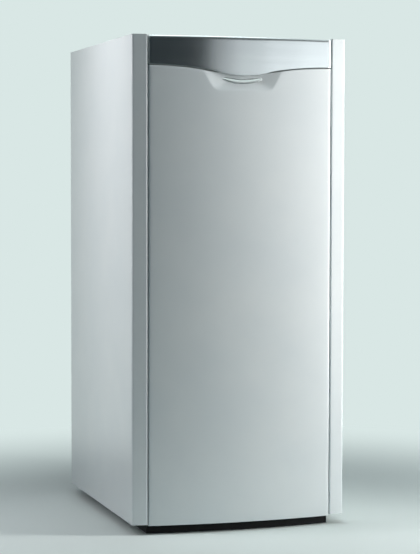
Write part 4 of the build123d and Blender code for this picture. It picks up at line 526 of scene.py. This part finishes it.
def front_columns(step):
    """Places across the front, with folded sides, closest together over the grip recess."""
    side = folded_edge(DOOR_REACH, DOOR_BEND)
    inner = DOOR_HALF - DOOR_BEND
    flat = spaced(-inner, -RECESS_HALF, PLAIN_STEP)[1:-1] + spaced(-RECESS_HALF, RECESS_HALF, step)
    flat += spaced(RECESS_HALF, inner, PLAIN_STEP)[1:-1]
    left = [(inset - DOOR_HALF, depth) for inset, depth in side]
    right = [(DOOR_HALF - inset, depth) for inset, depth in reversed(side)]
    return left + [(x, 0.0) for x in flat] + right


def front_door():
    """The door with its folded edges and the grip recess pressed into it."""
    edge = folded_edge(DOOR_REACH, DOOR_BEND)
    rows = [("low", inset, depth) for inset, depth in edge]
    rows += [("low", z - DOOR_LOW, 0.0)
             for z in spaced(DOOR_LOW + DOOR_BEND, RECESS_LOW, LOW_ROW_STEP)[1:]]
    rows += [("share", share, 0.0) for share in spaced(0, 1, 1 / RECESS_ROWS)[1:-1]]
    rows += [("top", inset, depth) for inset, depth in reversed(edge)]

    def place(column, row):
        x, side = column
        kind, amount, fold = row
        top = door_top(x)
        if kind == "low":
            z = DOOR_LOW + amount
        elif kind == "top":
            z = top - amount * crisp(x)
        else:
            z = RECESS_LOW + amount * (top - DOOR_BEND * crisp(x) - RECESS_LOW)
        pressed = recess(x, z)
        depth = min(pressed + folded(side, fold), max(DOOR_REACH, pressed + SHEET))
        return x, bow(x) + depth, z

    sheet = pressed_sheet(front_columns(DOOR_STEP), rows, place)
    return walled(finished(sheet, "front_door_skin", "cover", "front_cover", "casing_white"))


def crisp(x):
    """How tall the bend along an upper edge is, as a share: sharp inside the grip recess."""
    return CRISP_SHARE + (1 - CRISP_SHARE) * ease(abs(x), TONGUE[0][0], CRISP_END)


def flange_reach(x):
    """How far the flange under the flap goes back: less along the tongue."""
    share = ease(abs(x), TONGUE[0][0], TONGUE_REACH_END)
    return TONGUE_REACH + (DOOR_REACH - TONGUE_REACH) * share


def silver_flap():
    """The flap with its folded edges, its top shelf and its tongue."""
    edge = folded_edge(DOOR_REACH, DOOR_BEND)[2:]
    rows = [("flange", share, DOOR_REACH) for share in (1.0, 0.5)]
    rows += [("roll", turn, 0.0) for turn in spaced(0, 1, 1 / ROLL_ROWS)]
    rows += [("share", share, 0.0) for share in spaced(0, 1, 1 / FLAP_ROWS)[1:-1]]
    rows += [("top", inset, depth) for inset, depth in reversed(edge)]
    rows += [("shelf", share, DOOR_REACH) for share in (0.5, 1.0)]

    def place(column, row):
        x, side = column
        kind, amount, fold = row
        low = seam(x)
        if kind == "flange":
            z, back = low, ROLL_HEIGHT + (flange_reach(x) - ROLL_HEIGHT) * amount
        elif kind == "roll":
            turn = pi / 2 * amount
            z, back = low + ROLL_HEIGHT * (1 - cos(turn)), ROLL_HEIGHT * (1 - sin(turn))
        elif kind == "share":
            z = low + ROLL_HEIGHT + amount * (FLAP_TOP - DOOR_BEND - low - ROLL_HEIGHT)
            back = 0.0
        elif kind == "top":
            z, back = FLAP_TOP - amount, fold
        else:
            z, back = FLAP_TOP, DOOR_BEND + (FLAP_REAR - bow(x) - DOOR_BEND) * amount
        return x, bow(x) + folded(side, back), z

    sheet = pressed_sheet(front_columns(FLAP_STEP), rows, place)
    return walled(finished(sheet, "silver_flap_skin", "flap", "control_flap", "flap_silver"))


def hinge_ears():
    """The two ears under the flap's shelf, with the bosses that turn on the hinge pins."""
    ears = bmesh.new()
    low, high = Vector(EAR_LOW), Vector((EAR_LOW[0] + SHEET, FLAP_REAR, FLAP_TOP - SHEET))
    plate = bmesh.ops.create_cube(ears, size=1)["verts"]
    bmesh.ops.scale(ears, vec=high - low, verts=plate)
    bmesh.ops.translate(ears, vec=(high + low) / 2, verts=plate)
    boss = bmesh.ops.create_cone(ears, cap_ends=True, segments=BOSS_SEGMENTS, radius1=BOSS_RADIUS,
                                 radius2=BOSS_RADIUS, depth=BOSS_LENGTH)["verts"]
    bmesh.ops.rotate(ears, verts=boss, matrix=Matrix.Rotation(pi / 2, 3, "Y"))
    bmesh.ops.translate(ears, vec=BOSS_PLACE, verts=boss)
    bmesh.ops.bevel(ears, geom=ears.edges[:], offset=EAR_EDGE, segments=2, affect="EDGES",
                    profile=0.5, material=-1)
    bmesh.ops.mirror(ears, geom=ears.verts[:] + ears.edges[:] + ears.faces[:], axis="X",
                     merge_dist=-1)
    bmesh.ops.recalc_face_normals(ears, faces=ears.faces)
    return finished(ears, "flap_hinge_ears", "flap", None, "flap_silver")


def grip_lip():
    """The crescent lip that the fingers rest on, full in the middle and rounded at its ends."""
    middle_x, middle_z, radius = circle(LIP_ARC)
    half_turn = asin(LIP_ARC[2][0] / radius)
    lip = bmesh.new()
    ring = bmesh.ops.create_circle(lip, segments=LIP_SEGMENTS, radius=1)["verts"]
    bmesh.ops.rotate(lip, verts=ring, matrix=Matrix.Rotation(pi / 2, 3, "Y"))
    bmesh.ops.scale(lip, verts=ring, vec=(1, LIP_PROUD, LIP_HALF_HEIGHT))
    bmesh.ops.translate(lip, verts=ring, vec=(0, LIP_Y, LIP_ARC[1][1]))
    middle = (0, LIP_Y, middle_z)
    bmesh.ops.rotate(lip, verts=ring, cent=middle, matrix=Matrix.Rotation(half_turn, 3, "Y"))
    bmesh.ops.spin(lip, geom=lip.verts[:] + lip.edges[:], cent=middle, axis=(0, 1, 0),
                   angle=-2 * half_turn, steps=LIP_STEPS)
    for point in lip.verts:
        turn = atan2(point.co.x, middle_z - point.co.z)
        full = sqrt(max(0.0, 1 - abs(turn / half_turn) ** LIP_END_POWER))
        rise = radius - sqrt(point.co.x ** 2 + (point.co.z - middle_z) ** 2)
        reach = radius - (rise if rise > 0 else rise * LIP_UNDER_SHARE) * full
        out = (point.co.y - LIP_Y) * full
        point.co = (reach * sin(turn), LIP_Y + (out if out < 0 else out * LIP_BACK_SHARE),
                    middle_z - reach * cos(turn))
    bmesh.ops.remove_doubles(lip, verts=lip.verts, dist=LIP_MERGE)
    bmesh.ops.recalc_face_normals(lip, faces=lip.faces)
    return finished(lip, "grip_lip", "cover", None, "silver_plastic", SHARP_TRIM)


def bar(mesh_data, size, place):
    """Adds a thin printed bar with soft edges."""
    points = bmesh.ops.create_cube(mesh_data, size=1)["verts"]
    bmesh.ops.scale(mesh_data, vec=size, verts=points)
    bmesh.ops.translate(mesh_data, vec=place, verts=points)
    edges = {edge for point in points for edge in point.link_edges}
    bmesh.ops.bevel(mesh_data, geom=list(edges), offset=PRINT_THICKNESS / PRINT_EDGE_DIVISOR,
                    segments=1, affect="EDGES", profile=0.5, material=-1)


def ticks(name, middle, reach, size, start, turn, steps):
    """A ring of printed marks round a knob or on the gauge's dial."""
    marks = bmesh.new()
    bar(marks, (size[0], PRINT_THICKNESS, size[1]), (reach, 0, 0))
    bmesh.ops.rotate(marks, verts=marks.verts, matrix=Matrix.Rotation(radians(start), 3, "Y"))
    bmesh.ops.spin(marks, geom=marks.verts[:] + marks.edges[:] + marks.faces[:], cent=(0, 0, 0),
                   axis=(0, 1, 0), angle=radians(turn), steps=steps, use_duplicate=True)
    bmesh.ops.translate(marks, vec=middle, verts=marks.verts)
    return finished(marks, name, "casing", None, "black_plastic", SHARP_TRIM)


def dial():
    """The white face of the pressure gauge, with a hole for the pointer's pin."""
    face = bmesh.new()
    rings = [bmesh.ops.create_circle(face, segments=DIAL_SEGMENTS, radius=radius)["verts"]
             for radius in DIAL_RADII]
    edges = {edge for ring in rings for point in ring for edge in point.link_edges}
    bmesh.ops.bridge_loops(face, edges=list(edges))
    bmesh.ops.rotate(face, verts=face.verts, matrix=Matrix.Rotation(pi / 2, 3, "X"))
    bmesh.ops.translate(face, vec=(GAUGE_X, DIAL_Y - PRINT_THICKNESS, CONTROL_Z), verts=face.verts)
    bmesh.ops.recalc_face_normals(face, faces=face.faces)
    if sum(side.normal.y for side in face.faces) > 0:
        bmesh.ops.reverse_faces(face, faces=face.faces)
    piece = finished(face, "gauge_dial", "casing", None, "casing_white")
    piece.modifiers.new("card", "SOLIDIFY").thickness = PRINT_THICKNESS * MM
    piece.data.materials[0] = DIAL_CARD
    return piece


def figures():
    """The water temperature on the display, in bars as a liquid-crystal display shows it."""
    shown = bmesh.new()
    cut = FIGURE_STROKE * BAR_CUT_SHARE
    for x, bars in DISPLAY_FIGURES:
        for across, up, upright in (SEGMENTS[letter] for letter in bars):
            width = FIGURE_STROKE if upright else FIGURE_WIDTH - cut
            tall = FIGURE_HEIGHT / 2 - cut if upright else FIGURE_STROKE
            bar(shown, (width, PRINT_THICKNESS, tall),
                (x + across * FIGURE_WIDTH / 2, FASCIA_FRONT - PRINT_THICKNESS,
                 CONTROL_Z + up * FIGURE_HEIGHT / 2))
    piece = finished(shown, "display_figures", "casing", None, "display_glass", SHARP_TRIM)
    # The bars take their pale colour as painted glow of the lit display; they give no light
    piece.data.materials[0] = PAINTED_GLOW_BARS
    return piece


front_door()
silver_flap()
hinge_ears()
grip_lip()
dial()
figures()
for scale in SCALES:
    ticks(*scale)


def lamp(name, place, aim, size, power, tint, spread=180):
    """A soft rectangular lamp at a place, turned towards a point, with a grid that narrows it."""
    light = bpy.data.lights.new(name, "AREA")
    light.shape = "RECTANGLE"
    light.size, light.size_y = size
    light.energy = power
    light.spread = radians(spread)
    light.color = linear(tint)[:3]
    made = bpy.data.objects.new(name, light)
    made.location = place
    made.visible_camera = False
    made.rotation_euler = (Vector(aim) - Vector(place)).to_track_quat("-Z", "Y").to_euler()
    bpy.context.scene.collection.objects.link(made)


def smooth_range(tree, value, start, end):
    """Runs smoothly from 0 at the start to 1 at the end, in a shader."""
    made = put(tree, "ShaderNodeMapRange", {"Value": value, "From Min": start, "From Max": end},
               interpolation_type="SMOOTHSTEP")
    return made.outputs["Result"]


def combined(tree, operation, first, second):
    """Two values of a shader, combined by a mathematical operation."""
    return put(tree, "ShaderNodeMath", {0: first, 1: second}, operation=operation).outputs["Value"]


def mirrored(tree, rays, coordinates, towards, start, end):
    """Where a glossy ray sees the backdrop: from start to end along a direction."""
    place = put(tree, "ShaderNodeTexCoord").outputs[coordinates]
    depth = put(tree, "ShaderNodeVectorMath", {0: place, 1: towards}, operation="DOT_PRODUCT")
    behind = smooth_range(tree, depth.outputs["Value"], start, end)
    return combined(tree, "MULTIPLY", behind, rays["Is Glossy Ray"])


def studio():
    """Floor, world, lamps and camera."""
    scene = bpy.context.scene
    scene.view_settings.view_transform = "Standard"

    floor = bmesh.new()
    bmesh.ops.create_circle(floor, cap_ends=True, segments=FLOOR_SEGMENTS, radius=FLOOR_RADIUS)
    mesh = bpy.data.meshes.new("studio_floor")
    floor.to_mesh(mesh)
    floor.free()
    ground = bpy.data.objects.new("studio_floor", mesh)
    scene.collection.objects.link(ground)
    paper = bpy.data.materials.new("painted_studio_floor")
    paper.use_nodes = True
    tree = paper.node_tree
    tree.nodes.clear()
    place = put(tree, "ShaderNodeTexCoord").outputs["Object"]
    away = put(tree, "ShaderNodeVectorMath", {0: place}, operation="LENGTH").outputs["Value"]
    fade = smooth_range(tree, away, FLOOR_CLEAR_START, FLOOR_CLEAR_END)
    rays = put(tree, "ShaderNodeLightPath").outputs
    reflected = mirrored(tree, rays, "Object", *FLOOR_MIRRORED)
    seen = combined(tree, "MAXIMUM", rays["Is Camera Ray"], reflected)
    seen = combined(tree, "MAXIMUM", seen, rays["Is Transmission Ray"])
    share = combined(tree, "MULTIPLY", seen, fade)
    paint = put(tree, "ShaderNodeBsdfDiffuse", {"Color": linear(FLOOR_COLOUR)}).outputs["BSDF"]
    glow = put(tree, "ShaderNodeEmission", {"Color": linear(BACKDROP), "Strength": 1.0})
    both = put(tree, "ShaderNodeMixShader", {0: share, 1: paint, 2: glow.outputs["Emission"]})
    put(tree, "ShaderNodeOutputMaterial", {"Surface": both.outputs["Shader"]})
    mesh.materials.append(paper)

    world = bpy.data.worlds.new("studio_room")
    scene.world = world
    world.use_nodes = True
    tree = world.node_tree
    tree.nodes.clear()
    rays = put(tree, "ShaderNodeLightPath").outputs
    seen = combined(tree, "MAXIMUM", rays["Is Camera Ray"], rays["Is Transmission Ray"])
    seen = combined(tree, "MAXIMUM", seen, mirrored(tree, rays, "Generated", *ROOM_MIRRORED))
    fill = put(tree, "ShaderNodeBackground", {
        "Color": linear(ROOM_FILL), "Strength": ROOM_FILL_STRENGTH})
    back = put(tree, "ShaderNodeBackground", {"Color": linear(BACKDROP), "Strength": 1.0})
    both = put(tree, "ShaderNodeMixShader", {0: seen, 1: fill.outputs[0], 2: back.outputs[0]})
    put(tree, "ShaderNodeOutputWorld", {"Surface": both.outputs["Shader"]})

    for settings in LAMPS:
        lamp(*settings)
    for number, (start, glow) in enumerate(FLAP_RAMP):
        width = FLAP_RAMP_END - start
        place = (start + width / 2, FLAP_RAMP_Y - FLAP_RAMP_Y_STEP * number, FLAP_RAMP_Z)
        lamp(f"box_front_right_{number}", place, FLAP_RAMP_AIM, (width, FLAP_RAMP_HEIGHT),
             glow * pi * width * FLAP_RAMP_HEIGHT, FLAP_RAMP_TINT)

    lens = bpy.data.cameras.new("photo_camera")
    lens.sensor_width = SENSOR_MM
    lens.lens = SENSOR_MM * FOCAL_PIXELS / PHOTO_HEIGHT_PIXELS
    camera = bpy.data.objects.new("photo_camera", lens)
    camera.location = CAMERA_PLACE
    sight = Vector((sin(CAMERA_YAW) * cos(CAMERA_PITCH), cos(CAMERA_YAW) * cos(CAMERA_PITCH),
                    sin(CAMERA_PITCH)))
    turned = sight.to_track_quat("-Z", "Y").to_matrix() @ Matrix.Rotation(CAMERA_ROLL, 3, "Z")
    camera.rotation_euler = turned.to_euler()
    scene.collection.objects.link(camera)
    scene.camera = camera


studio()
